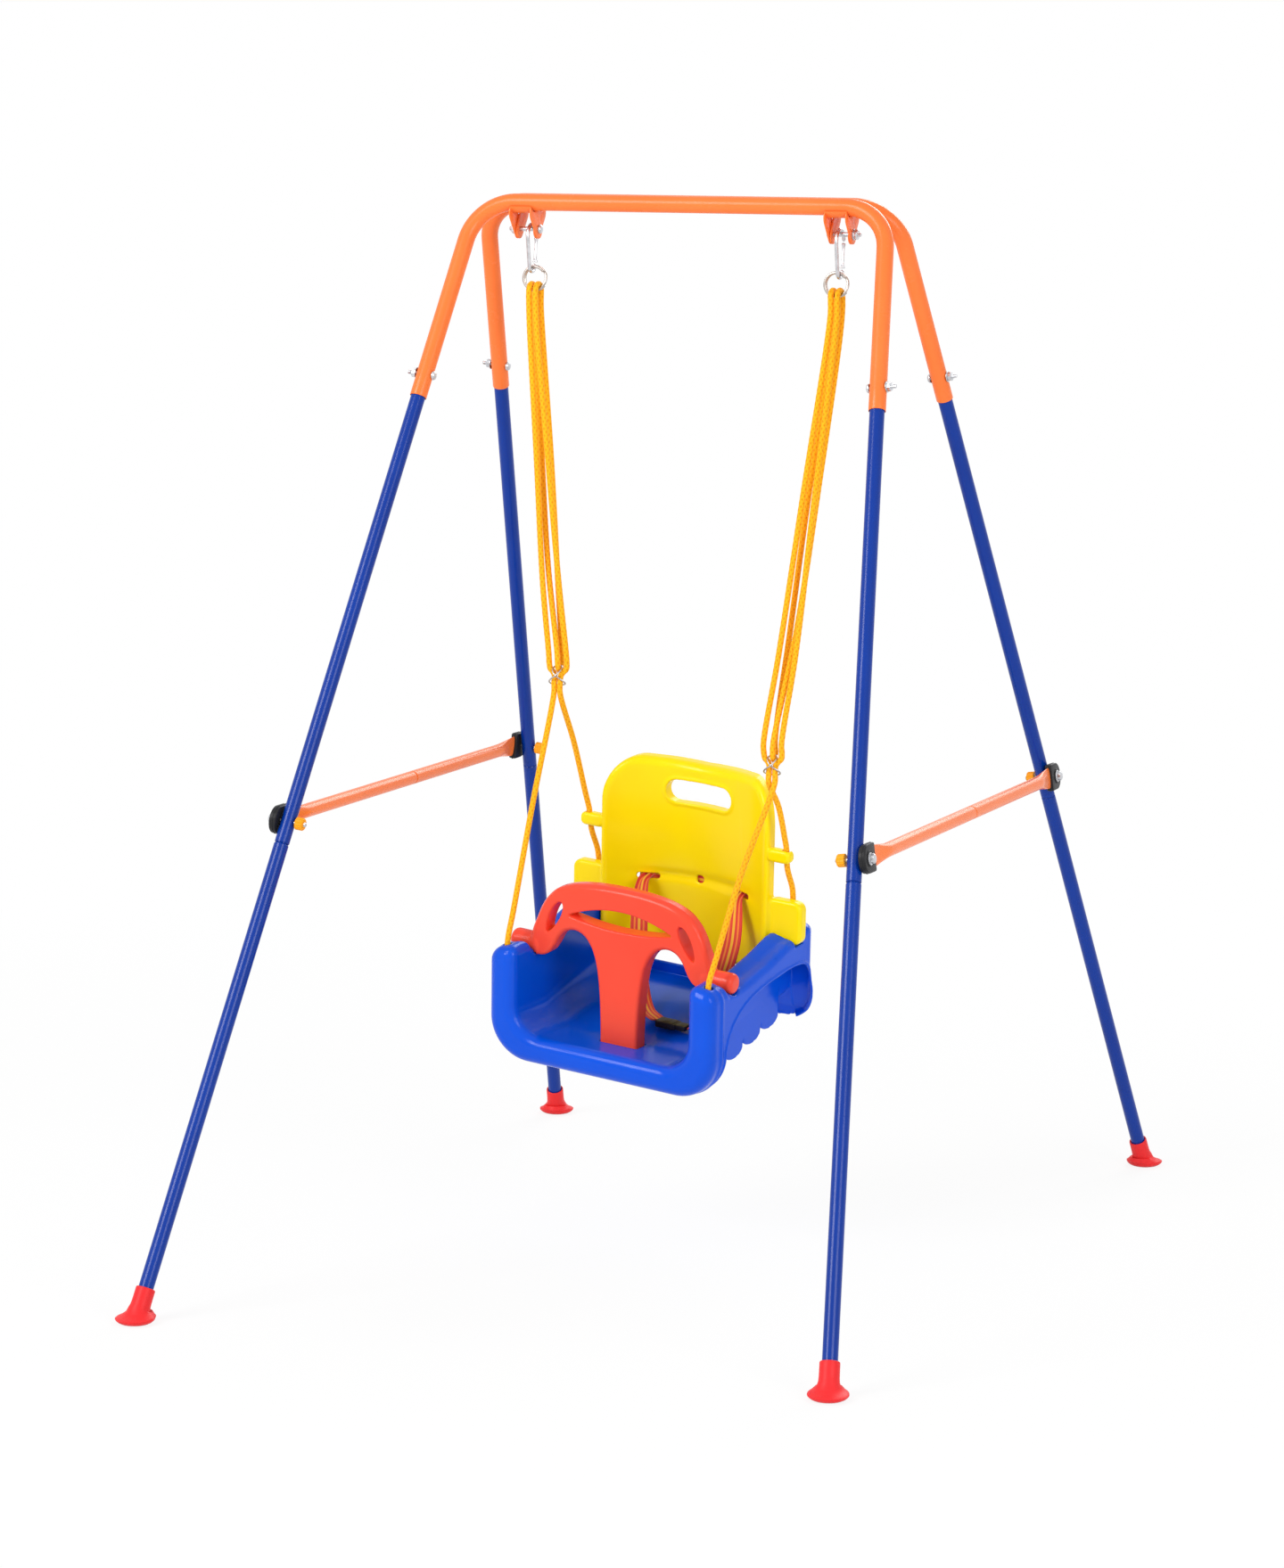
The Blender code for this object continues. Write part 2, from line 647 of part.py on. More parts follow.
def hook_path():
    """Centre line of the hook from the gate's nose, over the top, down and round to its pivot."""
    top = (0.0, TOP_WIRE_Z - HOOK_TOP_RADIUS)
    low = (0.0, BOTTOM_WIRE_Z + HOOK_FOOT_RADIUS)
    points = arc(top, HOOK_TOP_RADIUS, -2, 188, 10)
    points += arc(low, HOOK_FOOT_RADIUS, 188, 368, 7)
    return [(0.0, y, z) for y, z in points]


swing_axis = guide("swing_axis", (0.0, 0.0, HANGER_BOLT_HEIGHT))
for index, (side_name, side) in enumerate(SIDE_NAMES):
    hang = Vector((CARABINER_X[index], 0.0, -HANGER_BOLT_HEIGHT))
    hook = sweep("carabiner", hook_path(), WIRE, 8)
    place(f"carabiner_{side_name}", hook, STEEL, hang, parent=swing_axis)
    pivot = Vector((CARABINER_X[index], GATE_FOOT[0], GATE_FOOT[1] - HANGER_BOLT_HEIGHT))
    reach = Vector((0.0, GATE_NOSE[0] - GATE_FOOT[0], GATE_NOSE[1] - GATE_FOOT[1]))
    gate = turned("carabiner_gate", [
        (0.0, 0.0006), (0.0021, 0.0014), (0.0021, reach.length - 0.0028), (0.0026, reach.length - 0.0020),
        (0.0026, reach.length - 0.0006), (0.0, reach.length),
    ], 8)
    place(f"carabiner_gate_{side_name}", gate, STEEL, pivot, axes(reach, (1.0, 0.0, 0.0)), swing_axis)


# Rings: two turns of wire side by side, whose ends lie against the next turn

RING_WIRE = 0.0019
RING_MEAN = 0.0152
RING_PITCH = 0.0043


def ring_path():
    """Two turns, side by side. The wire changes lanes between its own two ends."""
    turn = np.linspace(0.0, 3.6 * math.pi, 33)
    shift = np.clip((turn - 1.6 * math.pi) / (0.4 * math.pi), 0.0, 1.0)
    shift = RING_PITCH * (3 * shift**2 - 2 * shift**3 - 0.5)
    return np.stack([RING_MEAN * np.sin(turn + 2.2), shift, -RING_MEAN * np.cos(turn + 2.2)], 1)


def least_gap(path, diameter):
    """Least gap between stretches of a wound wire that lie more than half a turn apart."""
    apart = np.linalg.norm(path[:, None] - path[None], axis=2)
    far = np.abs(np.subtract.outer(np.arange(len(path)), np.arange(len(path)))) > len(path) // 4
    return apart[far].min() - diameter


print(f"ring: least gap to itself {least_gap(ring_path(), 2 * RING_WIRE) / MM:.2f} mm")
for index, (side_name, side) in enumerate(SIDE_NAMES):
    spot = Vector((RING_X[index], 0.0, RING_HEIGHT - HANGER_BOLT_HEIGHT))
    place(f"ring_{side_name}", sweep("ring", ring_path(), RING_WIRE, 6), STEEL, spot, parent=swing_axis)


# Rope adjusters: a wire figure of eight that both ropes pass through

ADJUSTER_WIRE = 0.0011
ADJUSTER_DEEP = 0.0070
ADJUSTER_RISE = 0.0130
UPPER_EYE_WIDE = 0.0061
LOWER_EYE_WIDE = 0.0110


def adjuster_path(count=28):
    """Both eyes meet at a crossing in front, one pass over the other, and close behind the ropes."""
    turn = 4.0 * math.pi * np.arange(count) / count
    over = 1.0 + 0.16 * np.cos(turn / 2.0)
    wide = np.where(turn < 2.0 * math.pi, UPPER_EYE_WIDE, LOWER_EYE_WIDE)
    return np.stack([
        wide * np.sin(turn),
        -ADJUSTER_DEEP * over * np.cos(turn),
        ADJUSTER_RISE * np.sin(turn / 2.0),
    ], 1)


for index, (side_name, side) in enumerate(SIDE_NAMES):
    spot = ADJUSTER_AT[index] - Vector((0.0, 0.0, HANGER_BOLT_HEIGHT))
    mesh = sweep("rope_adjuster", adjuster_path(), ADJUSTER_WIRE, 5, closed=True)
    place(f"rope_adjuster_{side_name}", mesh, STEEL, spot, parent=swing_axis)


# Seat frame: X to the child's left, Y back, Z up, from the middle of the two post tops

seat_turn = Matrix.Rotation(SEAT_YAW, 3, "Z") @ Matrix.Rotation(SEAT_PITCH, 3, "X")
seat_turn = seat_turn @ Matrix.Rotation(SEAT_ROLL, 3, "Y")
seat_axis = guide("seat_axis", SEAT_AT - Vector((0.0, 0.0, HANGER_BOLT_HEIGHT)), seat_turn, swing_axis)


def from_seat(x, y, z):
    """A point of the seat, in millimetres, as a world point in metres."""
    return SEAT_AT + seat_turn @ Vector((x * MM, y * MM, z * MM))


# Ropes: one a side, up through the front post, twice over the ring, and down to the rear corner

ROPE_POINTS = 72
ROPE_LANE = 0.0046
RING_FOOT_HEIGHT = 1.222
RING_DROP = 0.0078


def over_ring(x, front_first):
    """Points of a strand that comes up to the ring, bends over it and goes down again."""
    top = RING_HEIGHT - RING_DROP
    bend = [(-0.0092, RING_FOOT_HEIGHT), (-0.0080, top - 0.0034), (0.0, top + 0.0006)]
    bend += [(-y, z) for y, z in bend[-2::-1]]
    if not front_first:
        bend = bend[::-1]
    return [Vector((x, y, z)) for y, z in bend]


def rope_points(index, side):
    """World points along the rope from its tail under the post to its end in the rear corner."""
    knot = ADJUSTER_AT[index]
    ring_foot = Vector((RING_X[index], 0.0, RING_FOOT_HEIGHT))

    def near(x, y, z):
        """A point by the adjuster, in millimetres, X outwards."""
        return knot + Vector((side * x * MM, y * MM, z * MM))

    def between(share, x, y):
        """A point part of the way from the adjuster to the ring."""
        return knot.lerp(ring_foot, share) + Vector((side * x * MM, y * MM, 0.0))

    rise = [near(4.2, -0.8, -22), near(4.2, -0.6, -10), near(4.6, 1.5, 0), near(7.4, 3.0, 4.5)]
    rise += [near(11.3, 3.4, 8.5), near(12.4, 2.5, 15), near(12.4, 0.5, 28)]
    rise += [between(0.25, 11.5, -3.0), between(0.6, 8.0, -6.5)]
    post_top = from_seat(side * 153, 0.2, 12)
    lower = [
        from_seat(side * 152, 44, -112),
        from_seat(side * 152, 18, -88),
        from_seat(side * 153, 4, -55),
        from_seat(side * 153, -0.8, -20),
        post_top,
        post_top.lerp(knot, 0.12),
        post_top.lerp(knot, 0.5) + Vector((side * 0.0010, 0.0, 0.0)),
    ]
    turn_round = [
        between(0.6, 6.5, 8.0), between(0.3, 5.5, 4.5), near(0.8, 1.2, 30), near(0.0, 1.2, 15),
        near(0.0, 2.5, 9.0), near(0.0, 7.0, 6.6), near(0.0, 11.5, 9.0), near(0.0, 12.8, 15),
        near(-0.8, 12.2, 30), between(0.3, -5.0, 9.8), between(0.6, -6.0, 9.5),
    ]
    fall = [
        between(0.6, -8.0, -6.5), between(0.25, -11.5, -3.0), near(-12.4, 0.5, 28), near(-12.4, 2.5, 15),
        near(-11.3, 3.4, 8.5), near(-7.4, 3.0, 4.5), near(-4.6, 1.5, 0),
        near(-4.2, -0.6, -10), near(-4.2, -0.8, -22),
    ]
    clip_top = from_seat(side * 151.5, 198, 142)
    corner = [
        clip_top.lerp(knot, 0.5) - Vector((side * 0.0010, 0.0, 0.0)),
        clip_top.lerp(knot, 0.12),
        clip_top,
        from_seat(side * 151.3, 200, 130),
        from_seat(side * 150.8, 203.5, 112),
        from_seat(side * 150.5, 219, 80),
        from_seat(side * 150, 224, 58),
        from_seat(side * 150, 235.5, 36),
        from_seat(side * 150, 238, 18),
        from_seat(side * 150, 238, -2),
        from_seat(side * 149, 234, -28),
    ]
    outer = RING_X[index] + side * ROPE_LANE
    inner = RING_X[index] - side * ROPE_LANE
    return lower + rise + over_ring(outer, True) + turn_round + over_ring(inner, False) + fall + corner


def tube_curve(name, path, radius):
    """A poly curve with a round bevel and filled ends."""
    curve = bpy.data.curves.new(name, "CURVE")
    curve.dimensions = "3D"
    curve.bevel_depth = radius
    curve.bevel_resolution = 2
    curve.use_fill_caps = True
    spline = curve.splines.new("POLY")
    spline.points.add(len(path) - 1)
    for point, spot in zip(spline.points, path):
        point.co = (*spot, 1.0)
    return curve


for index, (side_name, side) in enumerate(SIDE_NAMES):
    course = smooth_path(rope_points(index, side), ROPE_POINTS, bend_share=0.72)
    course[:, 2] -= HANGER_BOLT_HEIGHT
    place(f"rope_{side_name}", tube_curve("rope", course, ROPE_RADIUS), ROPE, parent=swing_axis)


# Seat base: a moulded tub. A thick rim runs down one front post, along the lip and up the other.

CORNER_STEPS = 5


def tub_section(y, wide, low, bend, well_wide, well_low, well_bend, top=80.0):
    """The cut through the tub at depth y, a U with square ends, in millimetres."""
    outer = arc((-wide + bend, low + bend), bend, 180, 270, CORNER_STEPS)
    outer += arc((wide - bend, low + bend), bend, 270, 360, CORNER_STEPS)
    inner = arc((well_wide - well_bend, well_low + well_bend), well_bend, 360, 270, CORNER_STEPS)
    inner += arc((-well_wide + well_bend, well_low + well_bend), well_bend, 270, 180, CORNER_STEPS)
    loop = [(-wide, top)] + outer + [(wide, top), (well_wide, top)] + inner + [(-well_wide, top)]
    return np.array([(x * MM, y * MM, z * MM) for x, z in loop])


def tub_lines(y):
    """Outer half width, low line and bend, then those of the well, along the depth."""
    along = (-22.0, 10.0, 60.0, 130.0, 200.0, 236.0, 252.0)
    wide = np.interp(y, along, (171, 171, 171, 171, 171, 169, 158))
    low = np.interp(y, along, (-146, -146, -138, -128, -118, -108, -103))
    well_wide = np.interp(y, along, (131, 131, 131, 131, 131, 131, 131))
    well_low = np.interp(y, along, (-108, -110, -113, -103, -95, -92, -90))
    return wide, low, well_wide, well_low


def flare(points, reach=0.014):
    """Pushes the low rear edge back, as the skirt does."""
    share = np.clip((-0.030 - points[:, 2]) / 0.070, 0.0, 1.0) ** 1.5
    back = np.clip((points[:, 1] - 0.215) / 0.030, 0.0, 1.0)
    points = points.copy()
    points[:, 1] += reach * share * back
    return points


def tub_loft(name, inset, front, back, top):
    """The tub between two depths, with its front edge rounded and all its skins inset."""
    rings = []
    rounding = ((0.0, 15.0), (1.5, 9.0), (6.0, 3.6), (13.0, 0.7), (20.0, 0.0))
    depths = [(front + step, shrink) for step, shrink in rounding]
    depths += [(y, 0.0) for y in (32.0, 60.0, 130.0, 200.0, 222.0, 236.0) if y < back - 3.0]
    depths.append((back, 0.0))
    for y, shrink in depths:
        wide, low, well_wide, well_low = tub_lines(y)
        pull = inset + shrink * (1.0 if inset == 0.0 else 0.8)
        rings.append(flare(tub_section(
            y, wide - pull, low + pull, 58.0 - pull, well_wide + pull, well_low - pull, 40.0 + pull, top
        )))
    return loft(name, rings)


TOP_LINE = [(-40, 0), (-22, 0), (-19, 5), (-13, 8), (12, 8), (20, 6), (26, -4), (58, -4), (93, 1), (130, 7)]
TOP_LINE += [(160, 14), (180, 19), (216, 21), (224, 27), (232, 30), (245, 28), (256, 20), (300, 20)]
INNER_LINE = [(-40, -4), (-18, -4), (-14, 4), (14, 4), (20, -4), (24, -14), (30, -20), (54, -20), (62, -9)]
INNER_LINE += [(93, -3), (130, 3), (160, 10), (176, 14), (184, 10), (189, -3), (222, -3), (225, 20)]
INNER_LINE += [(232, 26), (246, 24), (300, 24)]


def sky(name, line):
    """Everything above a line of the side walls, which slopes down outwards."""
    rings = []
    for x in (-200.0, 0.0, 200.0):
        slope = 0.22 * (151.0 - abs(x))
        loop = [(x * MM, y * MM, (z + slope) * MM) for y, z in line]
        loop += [(x * MM, 0.300, 0.200), (x * MM, -0.040, 0.200)]
        rings.append(loop)
    return loft(name, rings)


base = place("seat_base", tub_loft("seat_base", 0.0, -22.0, 252.0, 80.0), BLUE_SEAT, parent=seat_axis)
boolean(base, cutter("tub_sky", sky("tub_sky", TOP_LINE), parent=seat_axis), solver="MANIFOLD")

hollow = cutter("tub_hollow", tub_loft("tub_hollow", 4.0, -18.0, 247.5, 70.0), parent=seat_axis)
boolean(hollow, cutter("hollow_sky", sky("hollow_sky", INNER_LINE), parent=seat_axis), solver="MANIFOLD")
boolean(base, hollow, solver="MANIFOLD")

under = [(18, -200), (18, -118.5), (60, -118.5), (130, -108.5), (200, -100.5), (247, -97.5), (248, -200)]
under = [(y * MM, z * MM) for y, z in under]
under_mesh = prism("tub_underside", under, -0.1345, 0.1345)
boolean(base, cutter("tub_underside", under_mesh, parent=seat_axis), solver="MANIFOLD")

ARCH_LINE = [(16, -84), (24, -64), (42, -44), (66, -31), (100, -22), (145, -17), (200, -16), (225, -22)]
arch_shape = [(16, -200)] + ARCH_LINE + [(238, -36), (243, -60), (246, -200)]
arch_shape = [(y * MM, z * MM) for y, z in arch_shape]
for side_name, side in SIDE_NAMES:
    low, high = sorted((side * 0.1345, side * 0.200))
    name = f"arch_{side_name}"
    boolean(base, cutter(name, prism(name, arch_shape, low, high), parent=seat_axis), solver="MANIFOLD")

rear_wall = [(-0.1325, -0.0990), (0.1325, -0.0990), (0.1325, -0.0600), (0.1240, -0.0740), (-0.1240, -0.0740)]
rear_wall += [(-0.1325, -0.0600)]
rear_mesh = prism("rear_wall", rear_wall, 0.2478, 0.2518, "y")
boolean(base, cutter("rear_wall", rear_mesh, parent=seat_axis), "UNION", "MANIFOLD")


def scallops(name, x):
    """A rib under the floor whose lower edge is round lobes. It reaches up to the well's bent edges."""
    rise = 6.0 if abs(x) > 0.1 else 0.0
    points = []
    for lobe in range(4):
        low = -121.0 + 7.5 * lobe
        for y, z in arc((0.0, 0.0), 1.0, 180, 360, 5):
            points.append((57.0 + 46.0 * lobe + 23.0 * y, low + 13.0 * z))
    points += [(218, -95.5 + rise), (130, -105.0 + rise), (60, -115.0 + rise), (34, -113.5 + rise)]
    loop = [(y * MM, z * MM) for y, z in points]
    return prism(name, loop, x - 0.0018, x + 0.0018)


for label, x in (("left", -0.112), ("middle_left", -0.045), ("middle_right", 0.045), ("right", 0.112)):
    name = f"scallop_rib_{label}"
    boolean(base, cutter(name, scallops(name, x), parent=seat_axis), "UNION", "MANIFOLD")

for side_name, side in SIDE_NAMES:
    for label, radius, x, y in (
        ("front", ROPE_HOLE_RADIUS, ROPE_HOLE_X, 0.0), ("rear", REAR_HOLE_RADIUS, REAR_HOLE_X, REAR_HOLE_Y),
    ):
        name = f"{label}_rope_hole_{side_name}"
        hole = rod(name, radius, -0.030, 0.060, 10)
        boolean(base, cutter(name, hole, (side * x, y, 0.0), parent=seat_axis), solver="MANIFOLD")

saddle = [(BAR_PIN_Y + y, BAR_PIN_Z + z) for y, z in arc((0.0, 0.0), BAR_PIN_RADIUS + 0.0005, 180, 360, 8)]
saddle += [(BAR_PIN_Y + 0.0165, 0.060), (BAR_PIN_Y - 0.0165, 0.060)]
for side_name, side in SIDE_NAMES:
    low, high = sorted((side * 0.120, side * 0.200))
    name = f"pin_saddle_{side_name}"
    boolean(base, cutter(name, prism(name, saddle, low, high), parent=seat_axis), solver="MANIFOLD")

STEM_HALF = 0.0280
BAR_HALF_DEPTH = 0.0130
socket = [(-STEM_HALF - 0.0008, -0.15), (STEM_HALF + 0.0008, -0.15), (STEM_HALF + 0.0008, -0.09)]
socket += [(-STEM_HALF - 0.0008, -0.09)]
socket_mesh = prism(
    "stem_socket", socket, BAR_PIN_Y - BAR_HALF_DEPTH - 0.0008, BAR_PIN_Y + BAR_HALF_DEPTH + 0.0008, "y"
)
boolean(base, cutter("stem_socket", socket_mesh, parent=seat_axis), solver="MANIFOLD")


# Backrest: a dished panel open at the back, with a handle slot, strap slots, ears and rope clips

back_axis = guide("backrest_axis", BACKREST_AT, parent=seat_axis)

EAR_REACH = 176.0
EAR_LOW = 59.0
EAR_HIGH = 118.0
EAR_FRONT = 0.0130
EAR_BACK = 0.0315
CLIP_REACH = 161.0
CLIP_LOW = 171.0
CLIP_HIGH = 189.0

notch_front = EAR_FRONT - 0.0006
notch_back = EAR_BACK + 0.0012
notch_low = (EAR_LOW - 0.6) * MM
notch = [(notch_front, notch_low), (notch_back, notch_low), (notch_back, 0.110), (notch_front, 0.110)]
for side_name, side in SIDE_NAMES:
    low, high = sorted((side * 0.120, side * 0.200))
    name = f"ear_notch_{side_name}"
    boolean(base, cutter(name, prism(name, notch, low, high), parent=back_axis), solver="MANIFOLD")


def half_panel():
    """Right half of the panel's outline from bottom middle to top middle, in millimetres."""
    points = [(0, 2), (100, 2)] + arc((PANEL_HALF - 16, 18), 16, -80, 0, 3)
    corner = arc((0.0, 0.0), 1.0, 0, 90, 7)
    points += [(PANEL_HALF - 44 + 44 * x, 212 + 60 * z) for x, z in corner]
    return points + [(0, 268)]


def mirrored(right):
    """A whole outline from its right half, which starts and ends on the middle line."""
    return np.array(right + [(-x, z) for x, z in right[-2:0:-1]], float)


def pulled_in(loop, pull, sharpest):
    """The outline moved inwards along its own normals."""
    ahead = np.roll(loop, -1, axis=0) - loop
    ahead /= np.linalg.norm(ahead, axis=1)[:, None]
    behind = np.roll(ahead, 1, axis=0)
    normal = np.stack([ahead[:, 1] + behind[:, 1], -ahead[:, 0] - behind[:, 0]], 1)
    scale = 1.0 + (ahead * behind).sum(1)
    return loop - pull * normal / np.maximum(scale, sharpest)[:, None]


def moulded(name, outline, stations, sharpest=0.5):
    """An outline carried through depths, each with its pull, so that its edges are round."""
    rings = []
    for depth, pull in stations:
        loop = pulled_in(outline, pull, sharpest) * MM
        rings.append(np.stack([loop[:, 0], np.full(len(loop), depth * MM), loop[:, 1]], 1))
    return loft(name, rings)


panel_line = mirrored(half_panel())
flat = moulded("backrest", panel_line, ((0.0, 7.0), (1.6, 2.8), (6.0, 0.0), (24.0, 0.0)))
back = place("backrest", flat, YELLOW, parent=back_axis)
tray = moulded("backrest_tray", panel_line, ((3.6, 7.0), (30.0, 3.6)))
boolean(back, cutter("backrest_tray", tray, parent=back_axis))


def stadium(half_long, half_high, centre):
    """A slot outline with round ends."""
    points = arc((centre[0] + half_long - half_high, centre[1]), half_high, -90, 90, 6)
    points += arc((centre[0] - half_long + half_high, centre[1]), half_high, 90, 270, 6)
    return [(x * MM, z * MM) for x, z in points]


def tab(side, reach, low, high, bend):
    """A tab from inside the panel's side wall out to its reach, with round outer corners."""
    root = PANEL_HALF - 0.5
    points = [(root, low)] + arc((reach - bend, low + bend), bend, -90, 0, 3)
    points += arc((reach - bend, high - bend), bend, 0, 90, 3) + [(root, high)]
    return [(side * x * MM, z * MM) for x, z in points]


def through_panel(name, outline, operation="DIFFERENCE", low=-0.010, high=0.030):
    """Cuts or adds an outline through the panel."""
    boolean(back, cutter(name, prism(name, outline, low, high, "y"), parent=back_axis), operation)


HANDLE_AT = (0.0, 229.0)
through_panel("handle_rim", stadium(54.0, 19.0, HANDLE_AT), "UNION", -0.0012, 0.0150)
through_panel("handle_slot", stadium(50.0, 15.0, HANDLE_AT))
through_panel("middle_hole", stadium(5.6, 5.5, (0.0, 110.0)))
for side_name, side in SIDE_NAMES:
    through_panel(f"strap_slot_{side_name}", stadium(14.5, 3.5, (side * 72.0, 106.0)))
groove = rod("backrest_groove", 0.0080, -0.100, 0.100, 12)
boolean(back, cutter("backrest_groove", groove, (0.0, -0.0056, 0.124), across, back_axis))

for side_name, side in SIDE_NAMES:
    ear = tab(side, EAR_REACH, EAR_LOW, EAR_HIGH, 8.0)
    through_panel(f"ear_{side_name}", ear, "UNION", EAR_FRONT, EAR_BACK)
    pocket = [(side * (PANEL_HALF + 0.4) * MM, z * MM) for z in (EAR_LOW + 3.6, EAR_HIGH - 3.6)]
    pocket += [(side * (EAR_REACH - 3.6) * MM, z * MM) for z in (EAR_HIGH - 8.0, EAR_LOW + 8.0)]
    through_panel(f"ear_pocket_{side_name}", pocket, "DIFFERENCE", EAR_FRONT + 0.0036, 0.040)
    clip = tab(side, CLIP_REACH, CLIP_LOW, CLIP_HIGH, 6.0)
    through_panel(f"rope_clip_{side_name}", clip, "UNION", 0.0050, 0.0210)
    x = side * 0.1515
    groove = [(x - 0.0046, 0.160), (x + 0.0046, 0.160), (x + 0.0046, 0.200), (x - 0.0046, 0.200)]
    through_panel(f"clip_groove_{side_name}", groove, "DIFFERENCE", 0.0092, 0.0300)


def dish(x):
    """How far the panel lies behind its front edges, along an arc of a circle, in millimetres."""
    radius = (PANEL_HALF**2 + PANEL_DISH**2) / (2.0 * PANEL_DISH)
    x = min(abs(x), PANEL_HALF)
    return math.sqrt(radius**2 - x**2) - math.sqrt(radius**2 - PANEL_HALF**2)


def dished(body):
    """The body's mesh with its modifiers applied, cut across in strips and moved back along the arc."""
    bpy.context.view_layer.update()
    seen = body.evaluated_get(bpy.context.evaluated_depsgraph_get())
    mesh = bpy.data.meshes.new_from_object(seen)
    work = bmesh.new()
    work.from_mesh(mesh)
    for step in range(-5, 6):
        everything = work.verts[:] + work.edges[:] + work.faces[:]
        cut = Vector((step * PANEL_HALF * MM / 5.5, 0.0, 0.0))
        bmesh.ops.bisect_plane(work, geom=everything, plane_co=cut, plane_no=(1.0, 0.0, 0.0), dist=1e-6)
    for vert in work.verts:
        vert.co.y += dish(vert.co.x / MM) * MM
    work.to_mesh(mesh)
    work.free()
    return outward(mesh)


bent = dished(back)
back.modifiers.clear()
back.data = bent


# T-bar: an arched grip with three windows, two pins that lie on the side walls, and a stem into the floor

def half_bar():
    """Right half of the outline from the foot up the stem, out to the pin and over the arch, in mm."""
    points = [(0, -124), (28, -124), (28.5, -90), (30, -55), (33, -25), (38, 0), (46, 17), (57, 28)]
    points += [(70, 32), (83, 29), (93, 20), (101, 6), (109, -5), (118, -10), (128, -11), (129, 4)]
    points += [(139, 6), (139, 17), (135, 24), (130, 38), (123, 56), (113, 72)]
    return points + [(99, 85), (78, 94), (45, 100), (0, 102)]


deep = BAR_HALF_DEPTH / MM
bar_edges = [(-deep, 5.0), (-deep + 1.6, 2.0), (-deep + 5.0, 0.0)]
bar_edges += [(-depth, pull) for depth, pull in reversed(bar_edges)]
bar_mesh = moulded("t_bar", mirrored(half_bar()), bar_edges, 0.6)
t_bar = place("t_bar", bar_mesh, RED_BAR, (0.0, BAR_PIN_Y, 0.0), parent=seat_axis)


def lens(count=8):
    """The middle window, its top edge along the arch."""
    x = np.linspace(-77.0, 77.0, count + 1)
    share = 1.0 - (x / 77.0) ** 2
    top = [(a, 54.0 + 17.0 * s) for a, s in zip(x, share)]
    low = [(a, 52.0 - 8.0 * s) for a, s in zip(x, share)]
    return [(a * MM, b * MM) for a, b in low + top[::-1]]


def leaf(side):
    """A side window, pointed at both ends."""
    start = np.array((90.0, 68.0))
    finish_at = np.array((112.0, 24.0))
    along = finish_at - start
    across_leaf = np.array((-along[1], along[0])) / np.linalg.norm(along)
    points = []
    for sign, order in ((1.0, (0.0, 0.2, 0.45, 0.7, 0.9)), (-1.0, (1.0, 0.9, 0.7, 0.45, 0.2))):
        for share in order:
            bulge = 6.0 * math.sin(math.pi * share**0.8) ** 0.8 if share not in (0.0, 1.0) else 0.0
            points.append(start + along * share + sign * across_leaf * bulge)
    return [(side * x * MM, z * MM) for x, z in points]


windows = (("lens_window", lens()), ("leaf_window_left", leaf(-1.0)), ("leaf_window_right", leaf(1.0)))
for name, outline in windows:
    tool = cutter(name, prism(name, outline, -0.030, 0.030, "y"), (0.0, BAR_PIN_Y, 0.0), parent=seat_axis)
    boolean(t_bar, tool)
for side_name, side in SIDE_NAMES:
    pin = turned("bar_pin", [
        (0.0, side * 0.1260), (BAR_PIN_RADIUS, side * 0.1260), (BAR_PIN_RADIUS, side * 0.1640),
        (BAR_PIN_RADIUS - 0.0030, side * 0.1680), (0.0, side * 0.1690),
    ], 16)
    tool = cutter(f"bar_pin_{side_name}", pin, (0.0, BAR_PIN_Y, BAR_PIN_Z), across, seat_axis)
    boolean(t_bar, tool, "UNION")


# Harness: webbing from the strap slots to a buckle that lies on the seat

def ribbon(name, points, across_to, half_wide=0.0115, thick=0.0009):
    """A flat strap along hand-picked seat points, its width turned towards a given direction."""
    path = smooth_path([from_seat(*p) for p in points], 14)
    ahead = np.gradient(path, axis=0)
    ahead /= np.linalg.norm(ahead, axis=1)[:, None]
    rings = []
    first = np.array(seat_turn @ Vector(across_to[0]))
    last = np.array(seat_turn @ Vector(across_to[1]))
    for j, (spot, run) in enumerate(zip(path, ahead)):
        share = j / (len(path) - 1)
        wide = first * (1 - share) + last * share
        wide = wide - run * wide.dot(run)
        wide /= np.linalg.norm(wide)
        up = np.cross(run, wide)
        rings.append([
            spot - wide * half_wide - up * thick, spot + wide * half_wide - up * thick,
            spot + wide * half_wide + up * thick, spot - wide * half_wide + up * thick,
        ])
    return loft(name, rings)


BUCKLE = (40.0, 104.0, -98.0)
drop = Vector((0.0, 0.0, HANGER_BOLT_HEIGHT))
for side_name, side in SIDE_NAMES:
    start = (side * 71.0, BACKREST_AT.y / MM + dish(71.0) + 1.0, 57.0)
    if side < 0:
        points = [start, (-70, 206, 53), (-60, 180, 8), (-40, 152, -60), (-10, 122, -92), (14, 108, -97)]
    else:
        points = [start, (72, 210, 52), (93, 160, 4), (92, 122, -50), (78, 108, -86), (66, 104, -97)]
    made = ribbon("shoulder_strap", points, ((1.0, 0.0, 0.0), (0.0, 1.0, 0.0)))
    made.transform(Matrix.Translation(-drop))
    place(f"shoulder_strap_{side_name}", made, WEBBING, parent=swing_axis)

shell = [(-23, -8), (-20, -10), (20, -10), (23, -8), (23, 8), (20, 10), (-20, 10), (-23, 8)]
rings = []
for height, shrink in ((-4.5, 0.90), (-3.0, 1.0), (3.0, 1.0), (4.5, 0.90)):
    rings.append([(x * shrink * MM, y * shrink * MM, height * MM) for x, y in shell])
place("buckle", loft("buckle", rings), BLACK, [v * MM for v in BUCKLE], parent=seat_axis)
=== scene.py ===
import math

import bpy
import numpy as np
from mathutils import Matrix, Vector


